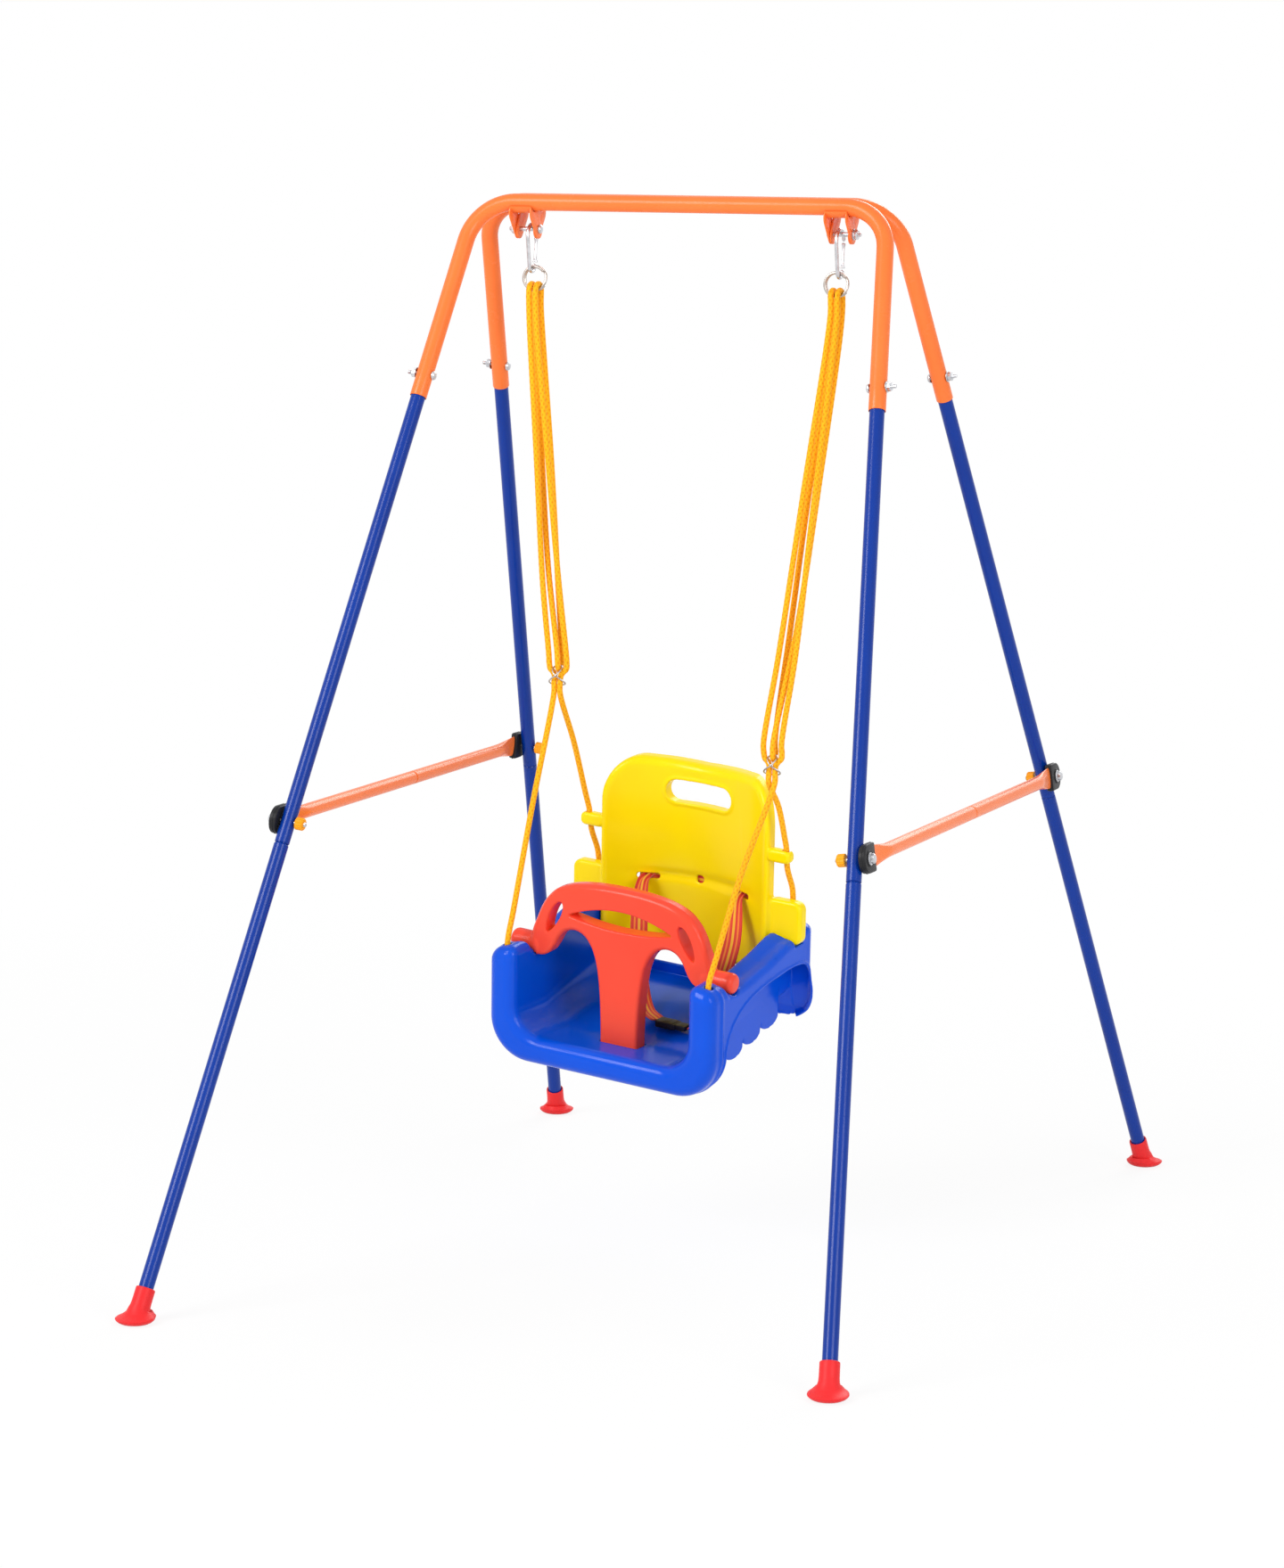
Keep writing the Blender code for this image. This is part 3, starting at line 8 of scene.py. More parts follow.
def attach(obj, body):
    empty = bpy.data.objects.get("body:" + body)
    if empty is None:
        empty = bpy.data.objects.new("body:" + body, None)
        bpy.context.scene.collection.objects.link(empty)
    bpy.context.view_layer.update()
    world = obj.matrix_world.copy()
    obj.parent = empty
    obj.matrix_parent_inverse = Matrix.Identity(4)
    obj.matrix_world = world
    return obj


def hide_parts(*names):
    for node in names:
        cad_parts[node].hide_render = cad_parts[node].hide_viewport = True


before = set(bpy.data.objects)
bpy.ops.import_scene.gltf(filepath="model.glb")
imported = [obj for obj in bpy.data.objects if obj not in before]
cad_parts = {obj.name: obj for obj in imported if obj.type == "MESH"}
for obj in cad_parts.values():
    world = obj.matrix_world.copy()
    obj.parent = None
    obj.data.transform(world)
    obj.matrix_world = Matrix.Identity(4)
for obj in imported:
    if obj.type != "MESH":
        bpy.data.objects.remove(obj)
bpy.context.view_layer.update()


# Studio: a pale floor under a white sky, and three large soft panels. The camera stands where
# the vanishing lines of the bars and legs put it, and its lens is about 111 mm.

camera_turn = math.radians(21.56)
camera_rise = math.radians(8.17)
camera_roll = math.radians(0.36)
look_at = Vector((-0.1455, 0.2366, 0.5685))
camera_reach = 6.5838
away = Vector((
    math.sin(camera_turn) * math.cos(camera_rise),
    -math.cos(camera_turn) * math.cos(camera_rise),
    math.sin(camera_rise),
))
rightward = Vector((math.cos(camera_turn), math.sin(camera_turn), 0.0))
upward = away.cross(rightward)
lens = bpy.data.cameras.new("camera")
lens.lens = 110.9
lens.sensor_width = 36.0
camera = bpy.data.objects.new("camera", lens)
tilted_right = math.cos(camera_roll) * rightward + math.sin(camera_roll) * upward
tilted_up = math.cos(camera_roll) * upward - math.sin(camera_roll) * rightward
camera.matrix_world = Matrix.Translation(look_at + away * camera_reach) @ Matrix(
    (tilted_right, tilted_up, away)
).transposed().to_4x4()
bpy.context.scene.collection.objects.link(camera)
bpy.context.scene.camera = camera
bpy.context.scene.view_settings.view_transform = "Standard"

for name, spot, size, power in (
    ("key_panel", (-2.6, -4.2, 3.6), 2.4, 175.0),
    ("fill_panel", (3.8, -3.0, 2.2), 2.2, 80.0),
    ("rear_panel", (0.5, 4.2, 3.4), 2.6, 90.0),
):
    panel = bpy.data.lights.new(name, "AREA")
    panel.shape = "SQUARE"
    panel.size = size
    panel.energy = power
    lamp = bpy.data.objects.new(name, panel)
    lamp.location = spot
    lamp.rotation_euler = (Vector(spot) - Vector((0.0, 0.0, 0.6))).to_track_quat("Z", "Y").to_euler()
    bpy.context.scene.collection.objects.link(lamp)


class Wire:
    """One output of a shader node. Arithmetic on it adds Math nodes."""

    def __init__(self, finish, socket):
        self.finish = finish
        self.socket = socket

    def math(self, operation, *others):
        return self.finish.node("ShaderNodeMath", dict(enumerate((self, *others))), operation=operation)

    def __add__(self, other):
        return self.math("ADD", other)

    def __sub__(self, other):
        return self.math("SUBTRACT", other)

    def __rsub__(self, other):
        return self.finish.node("ShaderNodeMath", {0: other, 1: self}, operation="SUBTRACT")

    def __mul__(self, other):
        return self.math("MULTIPLY", other)

    def __truediv__(self, other):
        return self.math("DIVIDE", other)

    __radd__ = __add__
    __rmul__ = __mul__

    def clamped(self):
        """The value, held between 0 and 1."""
        return self.math("MAXIMUM", 0.0).math("MINIMUM", 1.0)


class Finish:
    """A node tree of a material or of the sky, and the one method that adds nodes to it."""

    def __init__(self, owner):
        owner.use_nodes = True
        self.owner = owner
        self.tree = owner.node_tree

    def node(self, kind, inputs=None, output=0, stops=None, **settings):
        made = self.tree.nodes.new(kind)
        for name, value in settings.items():
            setattr(made, name, value)
        for stop, (place, colour) in enumerate(stops or ()):
            knob = made.color_ramp.elements[stop] if stop < 2 else made.color_ramp.elements.new(place)
            knob.position = place
            knob.color = colour
        for key, value in (inputs or {}).items():
            if isinstance(value, Wire):
                self.tree.links.new(value.socket, made.inputs[key])
            else:
                made.inputs[key].default_value = value
        return Wire(self, made.outputs[output])

    def blend(self, share, first, second):
        """Mix of two colours or colour wires."""
        inputs = {0: share, 6: first, 7: second}
        return self.node("ShaderNodeMix", inputs, output=2, data_type="RGBA")

    def bumped(self, height, strength, distance):
        """The normal of a surface whose grain follows the height."""
        return self.node("ShaderNodeBump", {"Height": height, "Strength": strength, "Distance": distance})

    def dress(self, looks):
        """Each value or wire on its own socket of the surface shader."""
        sockets = self.tree.nodes["Principled BSDF"].inputs
        for name, value in looks.items():
            if isinstance(value, Wire):
                self.tree.links.new(value.socket, sockets[name])
            else:
                sockets[name].default_value = value
        return self.owner


def white_to_lens(finish):
    """1 for rays from the camera, off shiny surfaces or through clear ones, else 0."""
    seen = finish.node("ShaderNodeLightPath", output="Is Camera Ray")
    shiny = finish.node("ShaderNodeLightPath", output="Is Glossy Ray")
    clear = finish.node("ShaderNodeLightPath", output="Is Transmission Ray")
    return seen.math("MAXIMUM", shiny).math("MAXIMUM", clear)


sky = bpy.data.worlds.new("sky")
bpy.context.scene.world = sky
air = Finish(sky)
strength = white_to_lens(air) * 0.45 + 0.55
air.tree.links.new(strength.socket, air.tree.nodes["Background"].inputs["Strength"])
air.tree.nodes["Background"].inputs["Color"].default_value = (1.0, 1.0, 1.0, 1.0)

ground = bpy.data.materials.new("pale_floor")
pale = Finish(ground)
pale.tree.nodes.remove(pale.tree.nodes["Principled BSDF"])
matt = pale.node("ShaderNodeBsdfDiffuse", {"Color": (0.9, 0.9, 0.9, 1.0)})
glow = pale.node("ShaderNodeEmission", {"Color": (1.0, 1.0, 1.0, 1.0), "Strength": 1.0})
floor_spot = pale.node("ShaderNodeTexCoord", output="Object")
far = pale.node("ShaderNodeVectorMath", {0: floor_spot}, output="Value", operation="LENGTH")
faded = ((far - 1.2) / 1.6).clamped()
mixed = pale.node("ShaderNodeMixShader", {0: white_to_lens(pale) * (faded * 0.12 + 0.88), 1: matt, 2: glow})
pale.tree.links.new(mixed.socket, pale.tree.nodes["Material Output"].inputs["Surface"])
floor_mesh = bpy.data.meshes.new("floor")
floor_mesh.from_pydata([(x, y, 0) for x, y in ((-9, -9), (9, -9), (9, 9), (-9, 9))], [], [(0, 1, 2, 3)])
floor_mesh.materials.append(ground)
floor = bpy.data.objects.new("floor", floor_mesh)
bpy.context.scene.collection.objects.link(floor)


# Ropes: one soft braided cord a side, 7.6 mm thick. It comes up through the front post, goes
# twice over the ring and through the adjuster, and ends in the rear corner of the seat.

MM = 0.001
SIDES = (("left", -1.0), ("right", 1.0))
ENDS = (("front", -1.0), ("rear", 1.0))
BOLT_LEVEL = 1.325
RING_X = (-0.2060, 0.2095)
RING_LEVEL = 1.2613
STRANDS_MEET = 1.222
ROPE_RADIUS = 0.0038
ROPE_LANE = 0.0046
ADJUSTER_AT = (Vector((-0.1727, 0.0, 0.742)), Vector((0.1290, 0.0, 0.640)))
SEAT_AT = Vector((-0.0599, -0.100, 0.3726))
SEAT_TURN = Matrix.Rotation(math.radians(-9.8), 3, "Z") @ Matrix.Rotation(math.radians(7.5), 3, "X")
SEAT_TURN = SEAT_TURN @ Matrix.Rotation(math.radians(5.2), 3, "Y")


def from_seat(points):
    """Seat points in millimetres, X to the child's left, Y back and Z up, as world points in metres."""
    return np.asarray(points, float) * MM @ np.array(SEAT_TURN).T + np.array(SEAT_AT)


def distances(path):
    """How far along the path each of its points lies: the running sum of its steps."""
    return np.concatenate([[0.0], np.cumsum(np.linalg.norm(np.diff(path, axis=0), axis=1))])


def smooth_path(points, count):
    """A curve through given points, made of cubics with matching slopes, at even steps.

    Each cubic lasts as long as the square root of the gap it spans, so tight bends stay round.
    """
    knots = np.asarray(points, float)
    reach = np.concatenate([[0.0], np.cumsum(np.linalg.norm(np.diff(knots, axis=0), axis=1) ** 0.5)])
    steps = np.diff(reach)[:, None]
    pace = np.diff(knots, axis=0) / steps
    slopes = np.zeros_like(knots)
    slopes[1:-1] = (pace[:-1] * steps[1:] + pace[1:] * steps[:-1]) / (steps[1:] + steps[:-1])
    slopes[0] = pace[0]
    slopes[-1] = pace[-1]
    fine = np.linspace(0.0, reach[-1], 80 * len(knots))
    leg = np.clip(np.searchsorted(reach, fine, side="right") - 1, 0, len(knots) - 2)
    step = steps[leg]
    u = (fine - reach[leg])[:, None] / step
    curve = (
        (2 * u**3 - 3 * u**2 + 1) * knots[leg]
        + (u**3 - 2 * u**2 + u) * step * slopes[leg]
        + (3 * u**2 - 2 * u**3) * knots[leg + 1]
        + (u**3 - u**2) * step * slopes[leg + 1]
    )
    run = distances(curve)
    even = np.linspace(0.0, run[-1], count)
    return np.stack([np.interp(even, run, curve[:, k]) for k in range(3)], 1)


def path_length(path):
    """Sum of a path's steps."""
    return float(np.linalg.norm(np.diff(path, axis=0), axis=1).sum())


def path_frames(path, closed=False):
    """Two directions square to the path at each point, carried along it with no spin."""
    if closed:
        ahead = np.roll(path, -1, axis=0) - np.roll(path, 1, axis=0)
    else:
        ahead = np.gradient(path, axis=0)
    ahead = ahead / np.linalg.norm(ahead, axis=1)[:, None]
    side = np.cross(ahead[0], (0.0, 0.0, 1.0) if abs(ahead[0][2]) < 0.9 else (0.0, 1.0, 0.0))
    sides = []
    for direction in ahead:
        side = side - direction * side.dot(direction)
        side = side / np.linalg.norm(side)
        sides.append(side)
    sides = np.array(sides)
    if closed:
        other = np.cross(ahead[0], sides[0])
        miss = math.atan2(sides[-1].dot(other), sides[-1].dot(sides[0]))
        spin = (-miss * np.arange(len(path)) / len(path))[:, None]
        sides = np.cos(spin) * sides + np.sin(spin) * np.cross(ahead, sides)
    return ahead, sides, np.cross(ahead, sides)


def carried(path, radius, around=48, closed=False):
    """Rows of points of a round tube: path + radius x (cosine of the turn x side + sine x other)."""
    path = np.asarray(path, float)
    ahead, side, other = path_frames(path, closed)
    turn = 2.0 * math.pi * np.arange(around) / around
    radius = np.asarray(radius, float)
    if radius.ndim == 1:
        radius = radius[:, None]
    radius = np.broadcast_to(radius, (len(path), around))[..., None]
    spread = np.cos(turn)[None, :, None] * side[:, None] + np.sin(turn)[None, :, None] * other[:, None]
    return path[:, None] + radius * spread


def skin(rows, closed=False, metres=None):
    """Points and faces over rows of points, where each row is a loop. Open rows get an end face.

    The faces run so that the volume inside, the sum of point . (next x above) / 6, is positive.
    With metres, the distance of each row, the loops also get (turn, metres) for a pattern.
    """
    count, around = rows.shape[:2]
    index = np.arange(count * around).reshape(count, around)
    low = index if closed else index[:-1]
    high = np.roll(index, -1, axis=0) if closed else index[1:]
    quads = np.stack([low, np.roll(low, -1, 1), np.roll(high, -1, 1), high], -1).reshape(-1, 4)
    points = rows.reshape(-1, 3)
    a, b, c, d = (points[quads[:, k]] - points.mean(0) for k in range(4))
    volume = (a * np.cross(b, c)).sum() + (a * np.cross(c, d)).sum()
    faces = quads
    ends = []
    if not closed:
        ends = [index[0][::-1].tolist(), index[-1].tolist()]
    pattern = None
    if metres is not None:
        turn = np.tile(np.arange(around) / around, (len(low), 1))
        span = 1.0 / around
        level = np.repeat(np.asarray(metres)[:-1, None], around, 1)
        above = np.repeat(np.asarray(metres)[1:, None], around, 1)
        corners = [(turn, level), (turn + span, level), (turn + span, above), (turn, above)]
        pattern = np.stack([np.stack(corner, -1) for corner in corners], 2).reshape(-1, 4, 2)
    if volume < 0.0:
        faces = faces[:, ::-1]
        ends = [end[::-1] for end in ends]
        pattern = None if pattern is None else pattern[:, ::-1]
    return points, faces.tolist() + ends, pattern


def piece(name, skins, finish, body, stands_for, sharp=35.0):
    """One object of several skins, riding on a body in the place of CAD nodes."""
    points = np.concatenate([s[0] for s in skins])
    starts = np.cumsum([0] + [len(s[0]) for s in skins])
    faces = [[v + int(start) for v in face] for s, start in zip(skins, starts) for face in s[1]]
    mesh = bpy.data.meshes.new(name)
    mesh.from_pydata(points.tolist(), [], faces)
    if skins[0][2] is not None:
        layer = mesh.uv_layers.new(name="turn_and_metres")
        spots = np.zeros((len(mesh.loops), 2))
        at = 0
        for _, held, pattern in skins:
            spots[at:at + pattern.size // 2] = pattern.reshape(-1, 2)
            at += sum(len(face) for face in held)
        layer.data.foreach_set("uv", spots.ravel())
    mesh.shade_smooth()
    mesh.set_sharp_from_angle(angle=math.radians(sharp))
    mesh.materials.append(finish)
    made = bpy.data.objects.new(name, mesh)
    bpy.context.scene.collection.objects.link(made)
    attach(made, body)
    if stands_for:
        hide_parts(*stands_for)
    return made


def over_ring(x, front_first):
    """Points of a strand that comes up to the ring, bends over it and goes down again."""
    top = RING_LEVEL - 0.0078
    bend = [(-0.0092, STRANDS_MEET), (-0.0080, top - 0.0034), (0.0, top + 0.0006)]
    bend += [(-y, z) for y, z in bend[-2::-1]]
    if not front_first:
        bend = bend[::-1]
    return [Vector((x, y, z)) for y, z in bend]


def rope_points(index, side):
    """World points along the rope from its tail under the post to its end in the rear corner."""
    knot = ADJUSTER_AT[index]
    ring_foot = Vector((RING_X[index], 0.0, STRANDS_MEET))

    def seat(x, y, z):
        """A point of the seat, X outwards."""
        return Vector(from_seat((side * x, y, z)))

    def near(x, y, z):
        """A point by the adjuster, in millimetres, X outwards."""
        return knot + Vector((side * x * MM, y * MM, z * MM))

    def between(share, x, y):
        """A point part of the way from the adjuster to the ring."""
        return knot.lerp(ring_foot, share) + Vector((side * x * MM, y * MM, 0.0))

    post_top = seat(153, 0.2, 12)
    lower = [
        seat(152, 44, -112), seat(152, 18, -88), seat(153, 4, -55), seat(153, -0.8, -20), post_top,
        post_top.lerp(knot, 0.12), post_top.lerp(knot, 0.5) + Vector((side * MM, 0.0, 0.0)),
    ]
    rise = [
        near(4.2, -0.8, -22), near(4.2, -0.6, -10), near(4.6, 1.5, 0), near(7.4, 3.0, 4.5),
        near(11.3, 3.4, 8.5), near(12.4, 2.5, 15), near(12.4, 0.5, 28),
        between(0.25, 11.5, -3.0), between(0.6, 8.0, -6.5),
    ]
    turn_round = [
        between(0.6, 6.5, 8.0), between(0.3, 5.5, 4.5), near(0.8, 1.2, 30), near(0.0, 1.2, 15),
        near(0.0, 2.5, 9.0), near(0.0, 7.0, 6.6), near(0.0, 11.5, 9.0), near(0.0, 12.8, 15),
        near(-0.8, 12.2, 30), between(0.3, -5.0, 9.8), between(0.6, -6.0, 9.5),
    ]
    fall = [
        between(0.6, -8.0, -6.5), between(0.25, -11.5, -3.0), near(-12.4, 0.5, 28),
        near(-12.4, 2.5, 15), near(-11.3, 3.4, 8.5), near(-7.4, 3.0, 4.5), near(-4.6, 1.5, 0),
        near(-4.2, -0.6, -10), near(-4.2, -0.8, -22),
    ]
    clip_top = seat(151.5, 198, 142)
    corner = [
        clip_top.lerp(knot, 0.5) - Vector((side * MM, 0.0, 0.0)), clip_top.lerp(knot, 0.12), clip_top,
        seat(151.3, 200, 130), seat(150.8, 203.5, 112), seat(150.5, 219, 80), seat(150, 224, 58),
        seat(150, 235.5, 36), seat(150, 238, 18), seat(150, 238, -2), seat(149, 234, -28),
    ]
    outer = RING_X[index] + side * ROPE_LANE
    inner = RING_X[index] - side * ROPE_LANE
    return lower + rise + over_ring(outer, True) + turn_round + over_ring(inner, False) + fall + corner


BRAID_PITCH = 0.0092
braid = Finish(bpy.data.materials.new("amber_braid"))
braid_at = braid.node("ShaderNodeSeparateXYZ", {0: braid.node("ShaderNodeUVMap", uv_map="turn_and_metres")})
along_rope = Wire(braid, braid_at.socket.node.outputs["Y"]) / BRAID_PITCH
right_lay = ((braid_at * 4.0 + along_rope) * math.pi).math("COSINE").math("ABSOLUTE")
left_lay = ((braid_at * 4.0 - along_rope) * math.pi).math("COSINE").math("ABSOLUTE")
crossing = right_lay.math("MAXIMUM", left_lay)
yarn = ((braid_at * 44.0 + along_rope * 9.0) * math.pi).math("SINE") * 0.5 + 0.5
rope_spot = braid.node("ShaderNodeTexCoord", output="Object")
fuzz = braid.node("ShaderNodeTexNoise", {"Vector": rope_spot, "Scale": 900.0, "Detail": 3.0})
# Painted shade: the braid's colour darkens in the grooves between its strands and between its yarns, where
# the surface dips. The fuzz adds random tone.
shade = (crossing - 0.45) * 1.1 + yarn * 0.2 + fuzz * 0.25
braid_colour = braid.node("ShaderNodeValToRGB", {0: shade}, stops=(
    (0.10, (0.84, 0.28, 0.002, 1.0)), (0.45, (0.98, 0.41, 0.006, 1.0)), (0.75, (1.0, 0.49, 0.010, 1.0)),
))
braid.dress({
    "Base Color": braid_colour, "Roughness": 0.72, "Sheen Weight": 0.08, "Specular IOR Level": 0.15,
    "Normal": braid.bumped(crossing * 0.8 + yarn * 0.15 + fuzz * 0.1, 0.5, 0.0004),
})

ROPE_STEP = 0.0012
ROPE_AROUND = 28
for index, (side_name, side) in enumerate(SIDES):
    course = rope_points(index, side)
    rope_long = path_length(smooth_path(course, 4000))
    stations = int(rope_long / ROPE_STEP)
    path = smooth_path(course, stations)
    along = np.linspace(0.0, rope_long, stations)
    turn = np.arange(ROPE_AROUND) / ROPE_AROUND
    right_ridge = np.abs(np.cos(math.pi * (4.0 * turn[None] + along[:, None] / BRAID_PITCH)))
    left_ridge = np.abs(np.cos(math.pi * (4.0 * turn[None] - along[:, None] / BRAID_PITCH)))
    swell = np.maximum(right_ridge, left_ridge)
    tips = np.clip(np.minimum(along, rope_long - along) / 0.0022, 0.0, 1.0)[:, None]
    girth = (ROPE_RADIUS + 0.00004 - 0.00030 * (1.0 - swell)) * np.sqrt(0.35 + 0.65 * tips)
    rope = piece(
        f"rope_{side_name}_braid", [skin(carried(path, girth, ROPE_AROUND), metres=along)],
        braid.owner, "swing", [f"rope_{side_name}"], 60.0,
    )
    smooth_path(course, stations // 4).tolist()


# Top bars: two steel tubes, 22 mm across, bent down at both ends. Each end is a sleeve for a
# leg. They are powder coated in orange, and the hangers hold them side by side.

SLEEVE_RADIUS = 0.011
SLEEVE_BORE = 0.0101
BEND_RADIUS = 0.062
BAR_LEVEL = 1.360
BAR_Y = 0.015
GAP = 0.0003


def leg_line(side, end):
    """Foot point and upward direction of one leg."""
    foot = Vector((side * 0.4512, end * 0.6735, 0.0))
    top = Vector((side * 0.281, end * BAR_Y, BAR_LEVEL))
    return foot, (top - foot).normalized()


def side_normal(side):
    """Outward normal of the plane that holds both legs of a side."""
    normal = leg_line(side, -1.0)[1].cross(leg_line(side, 1.0)[1]).normalized()
    return normal if normal.x * side > 0 else -normal


def leg_axis(side, end):
    """Turn and start of a leg's own axes: Z up the leg, X outwards."""
    foot, up = leg_line(side, end)
    across = up.cross(side_normal(side)).normalized()
    return np.array(Matrix((across.cross(up), across, up)).transposed()), np.array(foot)


RISE = leg_line(1.0, 1.0)[1].z
CORNER_ALONG = BAR_LEVEL / RISE
SLEEVE_END_ALONG = 1.112 / RISE
JOINT_ALONG = 1.140 / RISE
SEAM_ALONG = 0.563 / RISE
BRACE_ALONG = 0.589 / RISE


def bar_path(end):
    """Centre line: two straight sleeves and a straight bar, joined by arcs of the bend radius."""
    halves = []
    for side in (-1.0, 1.0):
        foot, up = leg_line(side, end)
        corner = foot + up * CORNER_ALONG
        inward = Vector((-side, 0.0, 0.0))
        down = -up
        half = math.acos(down.dot(inward)) / 2.0
        trim = BEND_RADIUS / math.tan(half)
        centre = corner + (down + inward).normalized() * (BEND_RADIUS / math.sin(half))
        start = corner + down * trim - centre
        finish_at = corner + inward * trim - centre
        opening = math.pi - 2.0 * half
        part = np.linspace(0.0, 1.0, 25)[:, None]
        bend = np.sin((1 - part) * opening) * start + np.sin(part * opening) * finish_at
        bend = bend / math.sin(opening)
        low = np.array(foot + up * SLEEVE_END_ALONG)
        straight = low + (np.array(centre + start) - low) * np.linspace(0.0, 1.0, 9)[:-1, None]
        halves.append(np.concatenate([straight, np.array(centre) + bend]))
    return np.concatenate([halves[0], halves[1][::-1]])


def coated(name, colour, deep, rough):
    """Powder coat: the gloss paint's fine orange peel, faint cloudiness and a few dull patches."""
    made = Finish(bpy.data.materials.new(name))
    spot = made.node("ShaderNodeTexCoord", output="Object")
    peel = made.node("ShaderNodeTexNoise", {"Vector": spot, "Scale": 420.0, "Detail": 1.0})
    cloud = made.node("ShaderNodeTexNoise", {"Vector": spot, "Scale": 9.0, "Detail": 4.0, "Roughness": 0.6})
    grime = made.node("ShaderNodeTexNoise", {"Vector": spot, "Scale": 55.0, "Detail": 6.0, "Roughness": 0.7})
    return made.dress({
        "Base Color": made.blend((cloud * 1.5 - 0.35).clamped(), deep, colour),
        "Roughness": grime * 0.16 + (rough - 0.08), "Normal": made.bumped(peel, 0.03, 0.0004),
        "Specular IOR Level": 0.22, "Coat Weight": 0.04, "Coat Roughness": 0.10,
    })


orange_coat = coated("orange_coat", (0.98, 0.225, 0.050, 1.0), (0.93, 0.185, 0.034, 1.0), 0.26)

for end_name, end in ENDS:
    path = bar_path(end)
    ahead = path_frames(path)[0]
    tube = carried(path, SLEEVE_RADIUS)
    bore = carried(path, SLEEVE_BORE)
    rim = (SLEEVE_RADIUS - SLEEVE_BORE) / 2.0
    rows = [bore[0]]
    for bend in np.linspace(-math.pi / 2, math.pi / 2, 7)[1:-1]:
        out = (SLEEVE_RADIUS - rim + rim * math.sin(bend)) / SLEEVE_RADIUS
        rows.append(path[0] + (tube[0] - path[0]) * out - ahead[0] * rim * math.cos(bend))
    rows += list(tube)
    for bend in np.linspace(math.pi / 2, -math.pi / 2, 7)[1:-1]:
        out = (SLEEVE_RADIUS - rim + rim * math.sin(bend)) / SLEEVE_RADIUS
        rows.append(path[-1] + (tube[-1] - path[-1]) * out + ahead[-1] * rim * math.cos(bend))
    rows += list(bore[::-1][:-1])
    piece(
        f"{end_name}_bar_tube", [skin(np.array(rows), closed=True)],
        orange_coat, "frame", [f"{end_name}_top_bar"],
    )


# Legs: steel tubes, 19 mm across, powder coated in blue. The upper tube is bolted in the sleeve,
# and the lower tube's narrowed end plugs into it below the brace.

LEG_RADIUS = 0.0095
TUBE_WALL = 0.0012


def turned(profile, around=48, turn_by=0.0):
    """Rows of points round the Z axis. A profile point is (radius, height) or (radius, height, corner).

    A corner gives a hexagon: the reach is the smaller of the radius and the hexagon of that corner
    radius, so a radius under the corner's is its chamfer.
    """
    turn = 2.0 * math.pi * np.arange(around) / around + turn_by
    rows = []
    for radius, height, *corner in profile:
        reach = np.full(around, radius)
        if corner:
            flat = (turn - turn_by + math.pi / 6) % (math.pi / 3) - math.pi / 6
            side = corner[0] * math.cos(math.pi / 6) / np.cos(flat - math.pi / 6 * np.sign(flat + 1e-9))
            reach = np.minimum(radius, side)
        rows.append(np.stack([reach * np.cos(turn), reach * np.sin(turn), np.full(around, height)], 1))
    return np.array(rows)


def set_on(rows, turn, spot):
    """Rows turned and moved from a piece's own axes to the world."""
    return rows @ np.asarray(turn).T + np.asarray(spot)


blue_coat = coated("blue_coat", (0.0, 0.040, 0.330, 1.0), (0.0, 0.030, 0.270, 1.0), 0.22)
CORNERS = [(f"{end_name}_{side_name}", side, end) for side_name, side in SIDES for end_name, end in ENDS]
UPPER_TOP = JOINT_ALONG + 0.022
FOOT_ALONG = 0.0200
for corner_name, side, end in CORNERS:
    turn, foot = leg_axis(side, end)
    upper = turned([
        (LEG_RADIUS - TUBE_WALL, SEAM_ALONG + 0.0005), (LEG_RADIUS - 0.0006, SEAM_ALONG + 0.0001),
        (LEG_RADIUS, SEAM_ALONG + 0.0006), (LEG_RADIUS, SEAM_ALONG + 0.004),
        *[(LEG_RADIUS, level) for level in np.linspace(SEAM_ALONG + 0.02, UPPER_TOP, 12)],
        (LEG_RADIUS - TUBE_WALL, UPPER_TOP),
    ])
    piece(
        f"upper_tube_{corner_name}", [skin(set_on(upper, turn, foot), closed=True)],
        blue_coat, "frame", [f"upper_leg_{corner_name}"],
    )
    lower = turned([
        (0.0068, SEAM_ALONG + 0.060), (0.0080, SEAM_ALONG + 0.060), (0.0080, SEAM_ALONG - 0.0004),
        (0.0084, SEAM_ALONG - 0.0008), (LEG_RADIUS, SEAM_ALONG - 0.0022),
        (LEG_RADIUS, SEAM_ALONG - 0.006),
        *[(LEG_RADIUS, level) for level in np.linspace(SEAM_ALONG - 0.03, FOOT_ALONG, 12)],
        (LEG_RADIUS - TUBE_WALL, FOOT_ALONG), (LEG_RADIUS - TUBE_WALL, SEAM_ALONG - 0.0035),
    ])
    piece(
        f"lower_tube_{corner_name}", [skin(set_on(lower, turn, foot), closed=True)],
        blue_coat, "frame", [f"lower_leg_{corner_name}"],
    )


# Feet: soft red plastic, moulded. A straight collar grips the tube, and below it the foot flares
# to a wide rim with a rounded underside. The collar leans with the leg and the rim lies level.


